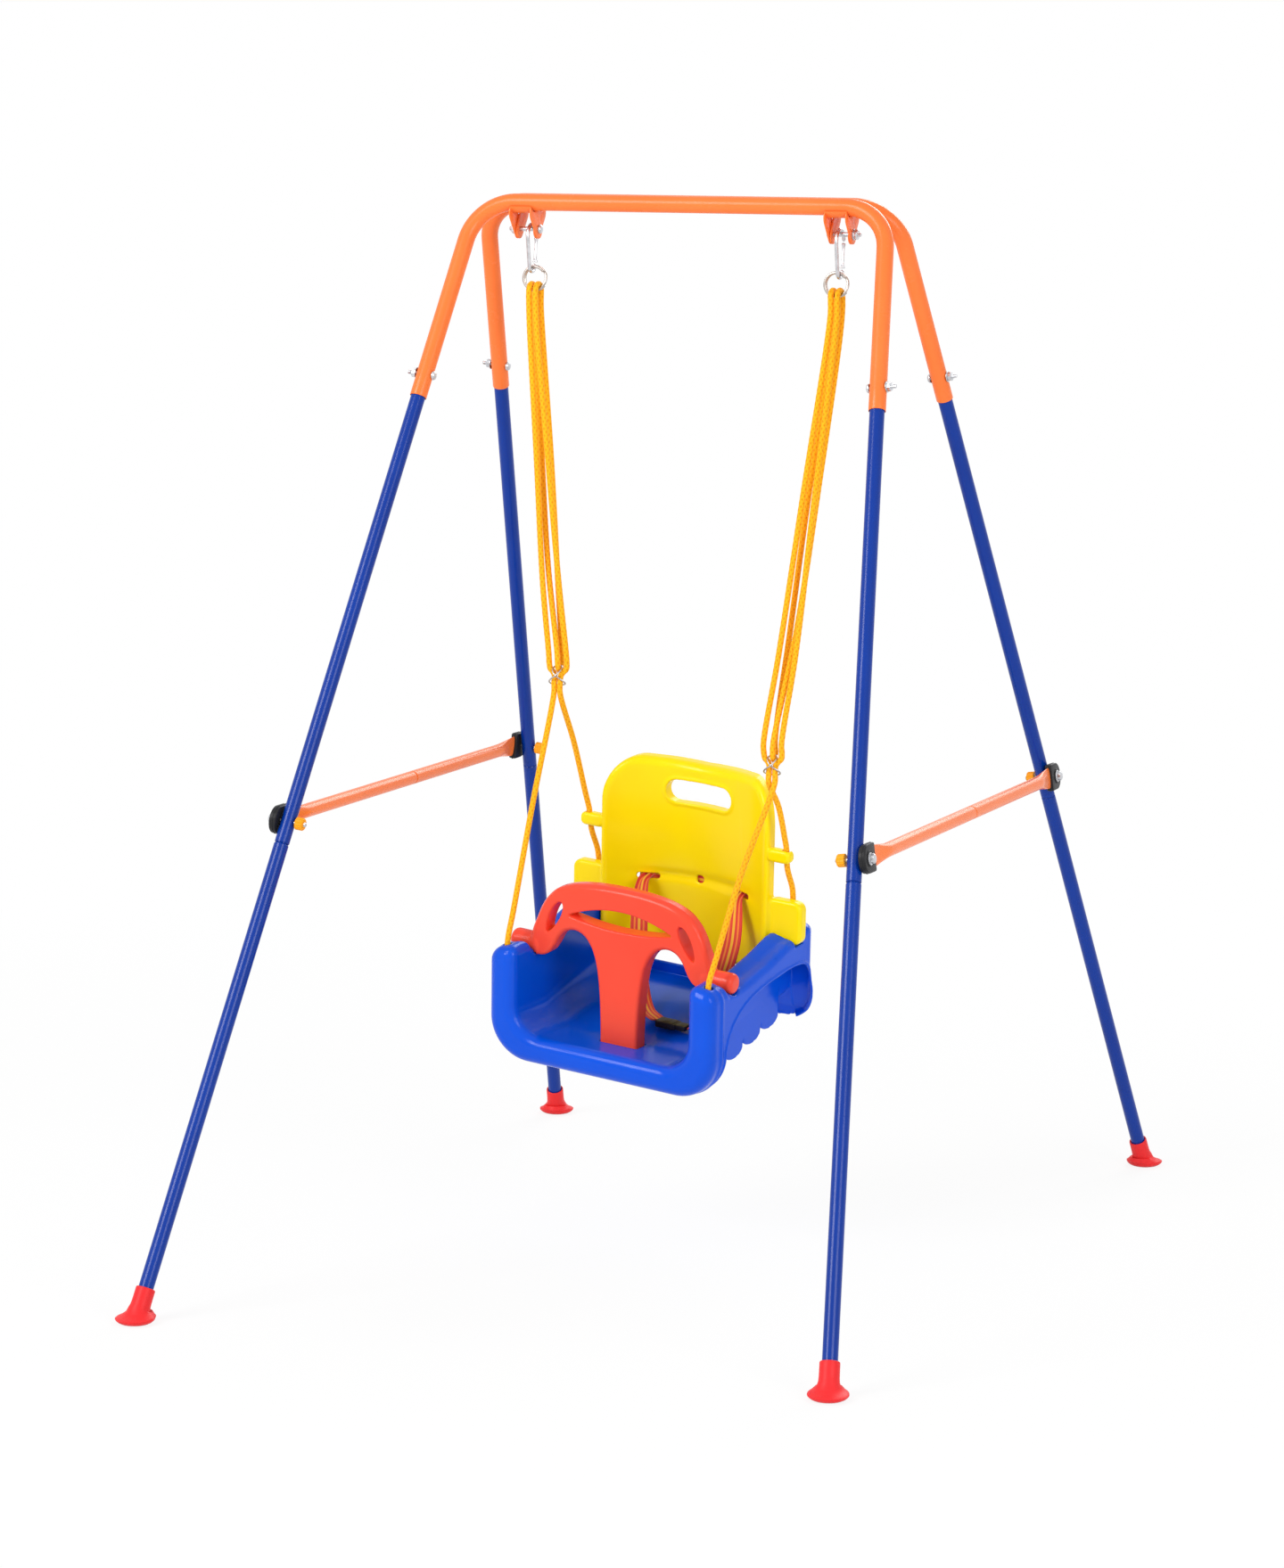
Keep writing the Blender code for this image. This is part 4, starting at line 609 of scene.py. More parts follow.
def moulded_plastic(name, colour, deep, rough, grain=0.05, coat=0.0):
    """Moulded plastic: slow changes of tone, a fine dull grain, and faint flow marks in the gloss."""
    made = Finish(bpy.data.materials.new(name))
    spot = made.node("ShaderNodeTexCoord", output="Object")
    tone = made.node("ShaderNodeTexNoise", {"Vector": spot, "Scale": 7.0, "Detail": 3.0})
    fine = made.node("ShaderNodeTexNoise", {"Vector": spot, "Scale": 1400.0, "Detail": 2.0})
    stretched = made.node("ShaderNodeMapping", {"Vector": spot, "Scale": (30.0, 30.0, 6.0)})
    flow = made.node("ShaderNodeTexNoise", {
        "Vector": stretched, "Scale": 1.0, "Detail": 4.0, "Distortion": 0.6,
    })
    return made.dress({
        "Base Color": made.blend((tone * 1.6 - 0.4).clamped(), deep, colour),
        "Roughness": flow * 0.14 + fine * 0.06 + (rough - 0.10),
        "Normal": made.bumped(fine * grain + flow * 0.35, 0.12, 0.0008),
        "Specular IOR Level": 0.18, "Coat Weight": coat, "Coat Roughness": 0.08,
    })


red_foot = moulded_plastic("red_foot", (0.90, 0.034, 0.036, 1.0), (0.80, 0.024, 0.028, 1.0), 0.42, 0.4)
for corner_name, side, end in CORNERS:
    turn, foot = leg_axis(side, end)
    collar = turned([
        (0.0098, 0.0203), (0.0098, 0.0440), (0.0104, 0.0449), (0.0114, 0.0452), (0.0121, 0.0445),
        (0.0123, 0.0432), (0.0123, 0.0330), (0.0124, 0.0270), (0.0128, 0.0215), (0.0140, 0.0175),
    ])
    collar = set_on(collar, turn, (0.0, 0.0, 0.0))
    spread = collar[-1] - collar[-1].mean(0)
    heading = np.arctan2(spread[:, 1], spread[:, 0])
    skirt = [(0.0165, 0.0140), (0.0200, 0.0108), (0.0232, 0.0090), (0.0244, 0.0082), (0.0249, 0.0070)]
    skirt += [(0.0246, 0.0056), (0.0236, 0.0044), (0.0215, 0.0026), (0.0185, 0.0011), (0.0150, 0.0002)]
    skirt += [(0.0120, 0.0), (0.0060, 0.0)]
    centre = collar[-1].mean(0) * (1, 1, 0)
    rings = []
    for k, (radius, level) in enumerate(skirt):
        drift = centre * max(0.0, 1.0 - k / 4.0)
        ring = np.stack([radius * np.cos(heading), radius * np.sin(heading), np.full(48, level)], 1)
        rings.append(ring + drift)
    rows = np.concatenate([collar, np.array(rings)]) + foot
    piece(
        f"foot_pad_{corner_name}", [skin(rows)],
        red_foot, "frame", [f"foot_{corner_name}"],
    )


# Joint bolts and hanger bolts: zinc plated M6 with a domed head and a cap nut. One holds each leg
# in its sleeve, square to the side of the frame, and one joins the ears of each hanger.


def plated(name, colour, rough):
    """Zinc plate: bright metal with fine turning marks, small dull spots and a faint cloud."""
    made = Finish(bpy.data.materials.new(name))
    spot = made.node("ShaderNodeTexCoord", output="Object")
    cloud = made.node("ShaderNodeTexNoise", {"Vector": spot, "Scale": 120.0, "Detail": 4.0})
    scratch = made.node("ShaderNodeMapping", {"Vector": spot, "Scale": (300.0, 300.0, 2600.0)})
    marks = made.node("ShaderNodeTexNoise", {"Vector": scratch, "Scale": 1.0, "Detail": 3.0})
    dull = tuple(0.62 * part for part in colour[:3]) + (1.0,)
    return made.dress({
        "Base Color": made.blend((cloud * 1.8 - 0.4).clamped(), dull, colour), "Metallic": 1.0,
        "Roughness": marks * 0.22 + cloud * 0.12 + (rough - 0.15), "Normal": made.bumped(marks, 0.15, 0.0003),
    })


zinc = plated("zinc_plate", (0.80, 0.81, 0.84, 1.0), 0.28)
THREAD = 0.0010


def thread(radius, start, end):
    """A zigzag profile of shallow grooves, one a pitch, from start to end."""
    levels = np.arange(start, end, THREAD / 2.0 if end > start else -THREAD / 2.0)
    return [(radius - 0.00035 * (k % 2), float(level)) for k, level in enumerate(levels)]


def cross_bolt(inner, outer, cap_long):
    """A domed hexagon head on the inside, and a washer, a nut and the bolt's end on the outside."""
    head = [(0.0006, -inner - 0.0043), (0.0028, -inner - 0.0041), (0.0046, -inner - 0.0034)]
    head += [(0.0056, -inner - 0.0022), (0.0060, -inner - 0.0010), (0.0060, -inner), (0.0030, -inner)]
    nut = [(0.0030, outer), (0.0072, outer), (0.0073, outer + 0.0005), (0.0071, outer + 0.0010)]
    nut += [(0.0054, outer + 0.0010, 0.0064), (0.0066, outer + 0.0017, 0.0064)]
    nut += [(0.0066, outer + 0.0056, 0.0064), (0.0053, outer + 0.0064, 0.0064), (0.0030, outer + 0.0064)]
    end = thread(0.0029, outer + 0.0066, outer + cap_long - 0.0008)
    return turned(head + nut + end + [(0.0022, outer + cap_long), (0.0008, outer + cap_long + 0.0001)])


HANGER_X = 0.216
across = np.array(Matrix.Rotation(math.pi / 2, 3, "Y"))
clear = SLEEVE_RADIUS + GAP
for side_name, side in SIDES:
    for end_name, end in ENDS:
        turn, foot = leg_axis(side, end)
        at = foot + turn @ np.array((0.0, 0.0, JOINT_ALONG))
        piece(
            f"joint_bolt_zinc_{end_name}_{side_name}",
            [skin(set_on(cross_bolt(clear, clear, 0.0125), turn @ across, at))],
            zinc, "frame", [f"joint_bolt_{end_name}_{side_name}"],
        )
    outward = across if side > 0 else np.array(Matrix.Rotation(-math.pi / 2, 3, "Y"))
    piece(
        f"hanger_bolt_zinc_{side_name}",
        [skin(set_on(cross_bolt(0.0158, 0.0158, 0.0100), outward, (side * HANGER_X, 0.0, BOLT_LEVEL)))],
        zinc, "frame", [f"hanger_bolt_{side_name}"],
    )


# Hangers: pressed steel, 2 mm thick, powder coated like the bars. A saddle hugs the underside of
# a bar, and its two ears reach down to the cross bolt that the swing hangs on.

HANGER_HALF = 0.0155
PLATE = 0.002


def arc(centre, radius, start, end, steps):
    """Points along an arc in degrees, with both ends."""
    turn = np.radians(np.linspace(start, end, steps + 1))
    return np.stack([centre[0] + radius * np.cos(turn), centre[1] + radius * np.sin(turn)], 1)


def plate(outline, low, high, soft, axis=0):
    """A flat plate: its outline at two levels, with edges rounded by a quarter circle in three steps."""
    outline = np.asarray(outline, float)
    ahead = np.roll(outline, -1, axis=0) - outline
    ahead = ahead / np.linalg.norm(ahead, axis=1)[:, None]
    behind = np.roll(ahead, 1, axis=0)
    normal = np.stack([ahead[:, 1] + behind[:, 1], -ahead[:, 0] - behind[:, 0]], 1)
    area = (outline[:, 0] * np.roll(outline[:, 1], -1) - outline[:, 1] * np.roll(outline[:, 0], -1)).sum()
    normal = normal / np.maximum(1.0 + (ahead * behind).sum(1), 0.5)[:, None] * math.copysign(1.0, area)
    rows = []
    for level, sign in ((low, 1.0), (high, -1.0)):
        bends = np.linspace(0.0, math.pi / 2, 4)
        for bend in bends if sign > 0 else bends[::-1]:
            flat = outline - normal * soft * (1.0 - math.sin(bend))
            depth = np.full(len(flat), level + sign * soft * (1.0 - math.cos(bend)))
            rows.append(np.insert(flat, axis, depth, axis=1))
    return np.array(rows)


def ear_outline(end):
    """Hull of the round lobe under the bar and the narrower tip round the bolt."""
    lobe = np.array((end * 0.0155, BAR_LEVEL - 0.0135))
    tip = np.array((0.0, BOLT_LEVEL - 0.0020))
    gap = tip - lobe
    aim = math.degrees(math.atan2(gap[1], gap[0]))
    lean = math.degrees(math.asin((0.0130 - 0.0105) / np.linalg.norm(gap)))
    ends = [arc(tip, 0.0105, aim - 90 + lean, aim + 90 - lean, 20)]
    ends.append(arc(lobe, 0.0130, aim + 90 - lean, aim + 270 + lean, 28))
    return np.concatenate(ends)


for corner_name, side, end in CORNERS:
    half = HANGER_HALF if end < 0 else HANGER_HALF - PLATE - GAP
    bar_axis = (end * BAR_Y, BAR_LEVEL)
    saddle = np.concatenate([
        arc(bar_axis, 0.0122 + PLATE, 205, 335, 24), arc(bar_axis, 0.0122, 335, 205, 24),
    ])
    skins = [skin(plate(saddle, -half + 0.0004, half - 0.0004, 0.0004) + (side * HANGER_X, 0, 0))]
    ear = ear_outline(end)
    under_bar = np.sqrt(np.maximum(0.0124**2 - (ear[:, 0] - end * BAR_Y) ** 2, 0.0))
    ear[:, 1] = np.minimum(ear[:, 1], BAR_LEVEL - under_bar)
    for low in (-half, half - PLATE):
        skins.append(skin(plate(ear, low, low + PLATE, 0.0005) + (side * HANGER_X, 0, 0)))
    piece(
        f"hanger_plate_{corner_name}", skins, orange_coat, "frame",
        [f"hanger_{corner_name}"],
    )


# Side braces: orange tubes, 18 mm across, pressed flat at both ends. The front half takes the
# narrowed end of the rear half, and a bolt holds each flat end outside the leg.

BRACE_RADIUS = 0.009
CAP_INNER = LEG_RADIUS + 0.0008
CAP_THICK = 0.0090
BRACE_OFFSET = CAP_INNER + CAP_THICK / 2.0
BRACE_SEAM = 0.020


def brace_axis(side):
    """Turn, middle and bolt reach of a brace's own axes: X outwards, Y along it, Z up."""
    normal = side_normal(side)
    foot, up = leg_line(side, -1.0)
    bolt = foot + up * BRACE_ALONG
    along = Vector((0.0, 1.0, 0.0)) if side > 0 else Vector((0.0, -1.0, 0.0))
    turn = np.array(Matrix((normal, along, normal.cross(along))).transposed())
    return turn, np.array((bolt.x, 0.0, bolt.z)), abs(bolt.y)


def brace_rows(bolt_y, seam_y, plug):
    """Oval sections whose width and height ease from the flat end to the round tube."""
    inward = math.copysign(1.0, seam_y - bolt_y)
    reach = abs(seam_y - bolt_y)
    along = np.concatenate([
        [-0.0110, -0.0106, -0.0098], np.linspace(-0.008, 0.016, 7), np.linspace(0.020, 0.085, 28),
        np.linspace(0.10, reach - 0.002, 8), [reach - 0.0008, reach - 0.0002, reach],
    ])
    ease = np.clip((along - 0.018) / 0.062, 0.0, 1.0)
    ease = ease * ease * (3.0 - 2.0 * ease)
    wide = 0.0017 + (BRACE_RADIUS - 0.0017) * ease**1.25
    high = 0.0139 + (BRACE_RADIUS - 0.0139) * ease
    near = np.clip((along + 0.0112) / 0.0030, 0.0, 1.0)
    high = high - 0.0025 * (1.0 - np.sqrt(1.0 - (1.0 - near) ** 2))
    wide = wide - 0.0005 * (1.0 - near)
    tip = np.clip((reach - along) / 0.0008, 0.0, 1.0)
    wide = wide - 0.0005 * (1.0 - tip)
    high = high - 0.0005 * (1.0 - tip)
    if plug:
        along = np.concatenate([along, [reach + 0.0002, reach + 0.030]])
        wide = np.concatenate([wide, [0.0075, 0.0075]])
        high = np.concatenate([high, [0.0075, 0.0075]])
    turn = 2.0 * math.pi * np.arange(48) / 48
    square = 1.0 + 0.10 * (1.0 - np.concatenate([ease, [1.0, 1.0]] if plug else [ease]))[:, None]
    x = wide[:, None] * np.sign(np.cos(turn)) * np.abs(np.cos(turn)) ** (1.0 / square)
    z = high[:, None] * np.sin(turn)
    y = np.broadcast_to((bolt_y + inward * along)[:, None], x.shape)
    return np.stack([x + BRACE_OFFSET, y, z], 2)


for corner_name, side, end in CORNERS:
    turn, middle, reach = brace_axis(side)
    bolt_y = end * side * reach
    seam = side * BRACE_SEAM if end < 0 else side * (BRACE_SEAM + 0.0018)
    piece(
        f"brace_tube_{corner_name}",
        [skin(set_on(brace_rows(bolt_y, seam, end > 0), turn, middle))],
        orange_coat, "frame", [f"brace_{corner_name}"],
    )


# Brace caps: black moulded plastic, D shaped. Each one wraps a brace's flat end and spaces it
# from the leg. Its outer face has a shallow round seat for the bolt.

black_plastic = moulded_plastic(
    "black_plastic", (0.022, 0.022, 0.024, 1.0), (0.014, 0.014, 0.016, 1.0), 0.40, 0.6
)
for corner_name, side, end in CORNERS:
    turn, middle, reach = brace_axis(side)
    bolt_y = end * side * reach
    inward = -math.copysign(1.0, bolt_y)
    round_end = arc((0.0, 0.0), 0.0178, 96, 264, 36)
    bay = [(0.0190, -0.0178), (0.0208, -0.0168), (0.0214, -0.0150), (0.0214, 0.0150), (0.0208, 0.0168)]
    bay += [(0.0190, 0.0178)]
    outline = np.concatenate([round_end, np.array(bay)]) * (inward, 1.0) + (bolt_y, 0.0)
    body = plate(outline, CAP_INNER, CAP_INNER + CAP_THICK, 0.0012)
    wider = (outline - (bolt_y, 0.0)) * 1.035 + (bolt_y, 0.0)
    edge = plate(wider, CAP_INNER + 0.0036, CAP_INNER + 0.0052, 0.0005)
    seat_ring = turned([
        (0.0078, 0.0), (0.0086, 0.0003), (0.0090, 0.0008), (0.0098, 0.0010), (0.0102, 0.0004),
        (0.0102, -0.002), (0.0078, -0.002),
    ])
    seat_ring = set_on(seat_ring, across, (CAP_INNER + CAP_THICK, bolt_y, 0.0))
    piece(
        f"brace_cap_black_{corner_name}",
        [
            skin(set_on(body, turn, middle)), skin(set_on(edge, turn, middle)),
            skin(set_on(seat_ring, turn, middle), closed=True),
        ],
        black_plastic, "frame", [f"brace_cap_{corner_name}"],
    )


# Brace bolts and cap nuts: a zinc hexagon bolt goes in from outside through cap, brace and leg,
# and an amber plastic nut with fine grips covers its end on the inner side.

amber_plastic = moulded_plastic(
    "amber_plastic", (1.0, 0.41, 0.010, 1.0), (0.92, 0.33, 0.006, 1.0), 0.38, 0.3
)
NUT_GRIPS = 16


def gripped(profile, depth):
    """A turned profile whose reach ripples NUT_GRIPS times a turn: radius - depth x (1 - cosine) / 2."""
    rows = turned(profile, 96)
    ripple = 0.5 - 0.5 * np.cos(NUT_GRIPS * 2.0 * math.pi * np.arange(96) / 96)
    for k, row in enumerate(profile):
        rows[k, :, :2] *= (1.0 - row[2:][0] * depth * ripple / row[0])[:, None] if row[2:] else 1.0
    return rows


for corner_name, side, end in CORNERS:
    turn, middle, reach = brace_axis(side)
    bolt_y = end * side * reach
    outer = CAP_INNER + CAP_THICK + GAP
    inner = LEG_RADIUS + GAP
    shaft = [(0.0006, outer + 0.0074), (0.0026, outer + 0.0073), (0.0044, outer + 0.0068, 0.0064)]
    shaft += [(0.0056, outer + 0.0060, 0.0064), (0.0066, outer + 0.0050, 0.0064)]
    shaft += [(0.0066, outer + 0.0014, 0.0064), (0.0078, outer + 0.0013), (0.0080, outer + 0.0008)]
    shaft += [(0.0079, outer), (0.0029, outer), (0.0029, -inner - 0.0118)]
    shaft += thread(0.0029, -inner - 0.0120, -inner - 0.0150) + [(0.0010, -inner - 0.0153)]
    piece(
        f"brace_bolt_zinc_{corner_name}",
        [skin(set_on(set_on(turned(shaft), across, (0.0, bolt_y, 0.0)), turn, middle))],
        zinc, "frame", [f"brace_bolt_{corner_name}"],
    )
    nut = [(0.0037, -inner), (0.0084, -inner), (0.0090, -inner - 0.0005), (0.0090, -inner - 0.0014)]
    nut += [(0.0082, -inner - 0.0020, 1.0), (0.0082, -inner - 0.0100, 1.0)]
    nut += [(0.0079, -inner - 0.0112, 1.0), (0.0070, -inner - 0.0121, 0.4)]
    nut += [(0.0060, -inner - 0.0124), (0.0037, -inner - 0.0124)]
    rows = gripped([row if len(row) == 3 else (*row, 0.0) for row in nut], 0.0007)
    piece(
        f"cap_nut_amber_{corner_name}",
        [skin(set_on(set_on(rows, across, (0.0, bolt_y, 0.0)), turn, middle), closed=True)],
        amber_plastic, "frame", [f"cap_nut_{corner_name}"],
    )


# Carabiners: snap hooks bent from 5 mm zinc plated wire, wide end up, about 60 mm long. Each
# hangs on its hanger bolt and carries a ring. The sprung gate turns on a pin at its foot.

CARABINER_X = (-0.2105, 0.2135)
WIRE = 0.0025
TOP_WIRE = BOLT_LEVEL + 0.003 + 0.0004 + WIRE
TOP_BOW = 0.0145
LOW_BOW = 0.0088
GATE_FOOT = (0.0100, 1.2830)
GATE_NOSE = (0.0143, 1.3140)
for index, (side_name, side) in enumerate(SIDES):
    top = arc((0.0, TOP_WIRE - TOP_BOW), TOP_BOW, -2, 188, 48)
    low = arc((0.0, 1.2700 + LOW_BOW), LOW_BOW, 188, 368, 36)
    share = np.linspace(0.0, 1.0, 14)[1:-1, None]
    flat = np.concatenate([top, top[-1] + share * (low[0] - top[-1]), low])
    path = np.insert(flat, 0, CARABINER_X[index], axis=1)
    run = distances(path)
    tips = np.clip(np.minimum(run, run[-1] - run) / WIRE, 0.0, 1.0)
    girth = WIRE * (0.45 + 0.55 * np.sqrt(1.0 - (1.0 - tips) ** 2))
    pin = turned([
        (0.0006, -0.0032), (0.0014, -0.0031), (0.0016, -0.0027), (0.0012, -0.0024), (0.0012, 0.0024),
        (0.0016, 0.0027), (0.0014, 0.0031), (0.0006, 0.0032),
    ], 24)
    pin = set_on(pin, across, (CARABINER_X[index], *GATE_FOOT))
    piece(
        f"snap_hook_{side_name}", [skin(carried(path, girth, 24)), skin(pin)],
        zinc, "swing", [f"carabiner_{side_name}"],
    )
    reach = Vector((0.0, GATE_NOSE[0] - GATE_FOOT[0], GATE_NOSE[1] - GATE_FOOT[1]))
    lean = reach.to_track_quat("Z", "X").to_matrix()
    long = reach.length
    gate = turned([
        (0.0008, 0.0006), (0.0018, 0.0009), (0.0021, 0.0018), (0.0019, 0.0060), (0.0017, 0.0110),
        (0.0017, long - 0.0090), (0.0021, long - 0.0046), (0.0026, long - 0.0030),
        (0.0027, long - 0.0018), (0.0024, long - 0.0006), (0.0012, long),
    ], 24)
    piece(
        f"snap_gate_{side_name}", [skin(set_on(gate, lean, (CARABINER_X[index], *GATE_FOOT)))],
        zinc, f"{side_name}_gate", [f"carabiner_gate_{side_name}"],
    )


# Rings: split rings of 3.8 mm steel wire, two turns side by side, on the hook's lower bow. The
# rope goes twice through each.

worn_steel = plated("worn_steel", (0.66, 0.61, 0.56, 1.0), 0.30)
RING_WIRE = 0.0019
RING_REACH = 0.0152
wound = np.linspace(0.0, 3.6 * math.pi, 260)
shift = np.clip((wound - 1.6 * math.pi) / (0.4 * math.pi), 0.0, 1.0)
shift = 0.0043 * (3 * shift**2 - 2 * shift**3 - 0.5)
coil = np.stack([RING_REACH * np.sin(wound + 2.2), shift, -RING_REACH * np.cos(wound + 2.2)], 1)
run = distances(coil)
tips = np.clip(np.minimum(run, run[-1] - run) / 0.0006, 0.0, 1.0)
for index, (side_name, side) in enumerate(SIDES):
    ring = carried(coil + (RING_X[index], 0.0, RING_LEVEL), RING_WIRE * (0.7 + 0.3 * tips), 20)
    piece(f"split_ring_{side_name}", [skin(ring)], worn_steel, "swing", [f"ring_{side_name}"])


# Rope adjusters: one steel wire bent to a figure of eight. Both falls of the rope go through it,
# and they jam in the upper eye.

eight = 4.0 * math.pi * np.arange(180) / 180
over = 1.0 + 0.16 * np.cos(eight / 2.0)
eye = np.where(eight < 2.0 * math.pi, 0.0061, 0.0110)
wound_eight = np.stack([eye * np.sin(eight), -0.0070 * over * np.cos(eight), 0.0130 * np.sin(eight / 2.0)], 1)
for index, (side_name, side) in enumerate(SIDES):
    bent = carried(wound_eight + np.array(ADJUSTER_AT[index]), 0.0011, 16, closed=True)
    piece(
        f"adjuster_wire_{side_name}", [skin(bent, closed=True)],
        worn_steel, "swing", [f"rope_adjuster_{side_name}"],
    )


# Seat base: a tub blow moulded in glossy blue plastic, with walls 4 mm thick. A fat rim runs down
# one front post, along the lip and up the other, and the hollow side walls are open underneath.


def rounded_and(a, b, bend):
    """Distance to what two shapes share, with the edge between them rounded.

    It is the larger distance, and past -bend the length of both excesses as one slanted side.
    """
    excess = np.hypot(np.maximum(a + bend, 0.0), np.maximum(b + bend, 0.0))
    return np.minimum(-bend, np.maximum(a, b)) + excess


def rounded_or(a, b, bend):
    """Distance to both shapes together, with a fillet between them."""
    return -rounded_and(-a, -b, bend)


def round_corner(u, v, bend):
    """Distance to a quarter plane, u and v past its inset corner, with the corner bent round."""
    return np.hypot(np.maximum(u, 0), np.maximum(v, 0)) + np.minimum(np.maximum(u, v), 0) - bend


def rounded_box(u, v, half_u, half_v, bend):
    """Distance to a rectangle with round corners: its inset rectangle's distance less the bend."""
    return round_corner(np.abs(u) - half_u + bend, np.abs(v) - half_v + bend, bend)


def outline_distance(corners, margin=24.0, step=1.0):
    """A function that gives the distance to a closed outline, below 0 inside.

    The least distance to any edge, with the sign from the count of edges crossed on the way out, is
    worked out at the points of a table, and read between them along both directions.
    """
    corners = np.asarray(corners, float)
    start = corners.min(0) - margin
    count = np.ceil((corners.max(0) + margin - start) / step).astype(int) + 2
    u = (start[0] + step * np.arange(count[0]))[:, None]
    v = (start[1] + step * np.arange(count[1]))[None, :]
    least = np.full((count[0], count[1]), 1e9)
    inside = np.zeros(least.shape, bool)
    for a, b in zip(corners, np.roll(corners, -1, axis=0)):
        edge = b - a
        if edge.dot(edge) < 1e-12:
            continue
        share = np.clip(((u - a[0]) * edge[0] + (v - a[1]) * edge[1]) / edge.dot(edge), 0.0, 1.0)
        least = np.minimum(least, (u - a[0] - share * edge[0]) ** 2 + (v - a[1] - share * edge[1]) ** 2)
        if edge[1]:
            inside ^= ((a[1] > v) != (b[1] > v)) & (u < a[0] + (v - a[1]) * edge[0] / edge[1])
    table = np.sqrt(least) * np.where(inside, -1.0, 1.0)

    def distance(u, v):
        at_u = np.clip((u - start[0]) / step, 0.0, count[0] - 1.001)
        at_v = np.clip((v - start[1]) / step, 0.0, count[1] - 1.001)
        at_u, at_v = np.broadcast_arrays(at_u, at_v)
        i = at_u.astype(int)
        j = at_v.astype(int)
        p = at_u - i
        q = at_v - j
        near = table[i, j] * (1 - q) + table[i, j + 1] * q
        far = table[i + 1, j] * (1 - q) + table[i + 1, j + 1] * q
        return near * (1 - p) + far * p

    return distance


def moulded(solid, low, high, cell):
    """Points, faces and normals of the surface where a distance function is 0.

    Each cell that the surface passes through gets one point, the mean of its edges' crossings, and
    each crossed edge one face between its four cells. Three steps along the slope, each the
    distance over the slope's square, then put every point on the surface itself.
    """
    ticks = [np.arange(a, b + cell, cell) for a, b in zip(low, high)]
    shape = np.array([len(t) for t in ticks])
    field = solid(ticks[0][:, None, None], ticks[1][None, :, None], ticks[2][None, None, :])
    field = np.broadcast_to(field, tuple(shape))
    cells = shape - 1
    total = np.zeros((int(np.prod(cells)), 4))
    loops = []
    for axis in range(3):
        first = [slice(None)] * 3
        second = [slice(None)] * 3
        first[axis] = slice(None, -1)
        second[axis] = slice(1, None)
        a = field[tuple(first)]
        b = field[tuple(second)]
        spots = np.argwhere((a < 0.0) != (b < 0.0))
        value_a = a[tuple(spots.T)]
        value_b = b[tuple(spots.T)]
        crossing = spots.astype(float)
        crossing[:, axis] += value_a / (value_a - value_b)
        other = [(axis + 1) % 3, (axis + 2) % 3]
        corners = []
        for back_one, back_two in ((1, 1), (0, 1), (0, 0), (1, 0)):
            home = spots.copy()
            home[:, other[0]] -= back_one
            home[:, other[1]] -= back_two
            flat = np.ravel_multi_index(tuple(home.T), tuple(cells))
            corners.append(flat)
            for k in range(3):
                total[:, k] += np.bincount(flat, crossing[:, k], len(total))
            total[:, 3] += np.bincount(flat, minlength=len(total))
        loop = np.stack(corners, 1)
        loop[value_a >= 0.0] = loop[value_a >= 0.0][:, ::-1]
        loops.append(loop)
    used = total[:, 3] > 0
    number = np.cumsum(used) - 1
    points = total[used, :3] / total[used, 3:] * cell + np.array([t[0] for t in ticks])
    faces = number[np.concatenate(loops)]

    def slope(at):
        nudge = 0.25
        parts = []
        for k in range(3):
            step = np.zeros(3)
            step[k] = nudge
            parts.append((solid(*(at + step).T) - solid(*(at - step).T)) / (2.0 * nudge))
        return np.stack(parts, 1)

    for _ in range(3):
        rise = slope(points)
        steep = np.maximum((rise * rise).sum(1), 0.2)
        move = -(solid(*points.T) / steep)[:, None] * rise
        size = np.linalg.norm(move, axis=1)[:, None]
        points = points + move * np.minimum(1.0, 0.5 * cell / np.maximum(size, 1e-9))
    normals = slope(points)
    normals /= np.maximum(np.linalg.norm(normals, axis=1), 1e-9)[:, None]
    return points, faces, normals


def moulded_piece(name, made, finish, body, stands_for):
    """A seat piece from its distance function's surface, with the surface's own normals."""
    points, faces, normals = made
    moved = from_seat(points)
    a, b, c = (moved[faces[:, k]] - moved.mean(0) for k in range(3))
    if (a * np.cross(b, c)).sum() < 0.0:
        faces = faces[:, ::-1]
    part = piece(name, [(moved, faces.tolist(), None)], finish, body, stands_for, 180.0)
    part.data.normals_split_custom_set_from_vertices((normals @ np.array(SEAT_TURN).T).tolist())
    return part


def eased(line, soften):
    """A level along the depth, from its corners, with each corner eased by a bell of that width."""
    reach = np.arange(-60.0, 320.0, 1.0)
    bell = np.exp(-((np.arange(-20, 21) / soften) ** 2))
    level = np.interp(reach, [p[0] for p in line], [p[1] for p in line])
    level = np.convolve(np.pad(level, 20, mode="edge"), bell / bell.sum(), mode="valid")
    return lambda y: np.interp(y, reach, level)


def bent_corner(side, z, half, base, bend):
    """Distance to a wide U with straight sides at half, its floor at base and bent corners."""
    return round_corner(side - half + bend, base + bend - z, bend)


def ramp(value, start, span):
    """0 up to the start, then rising evenly to 1 over the span."""
    return np.clip((value - start) / span, 0.0, 1.0)


SEAT_WALL = 4.0
WELL_HALF = 131.0
PIN_Y = 42.0
PIN_Z = 2.0
NOTCH_Y = 206.2
FRONT_HOLE_X = 153.0
REAR_HOLE_X = 150.0
REAR_HOLE_Y = 238.0

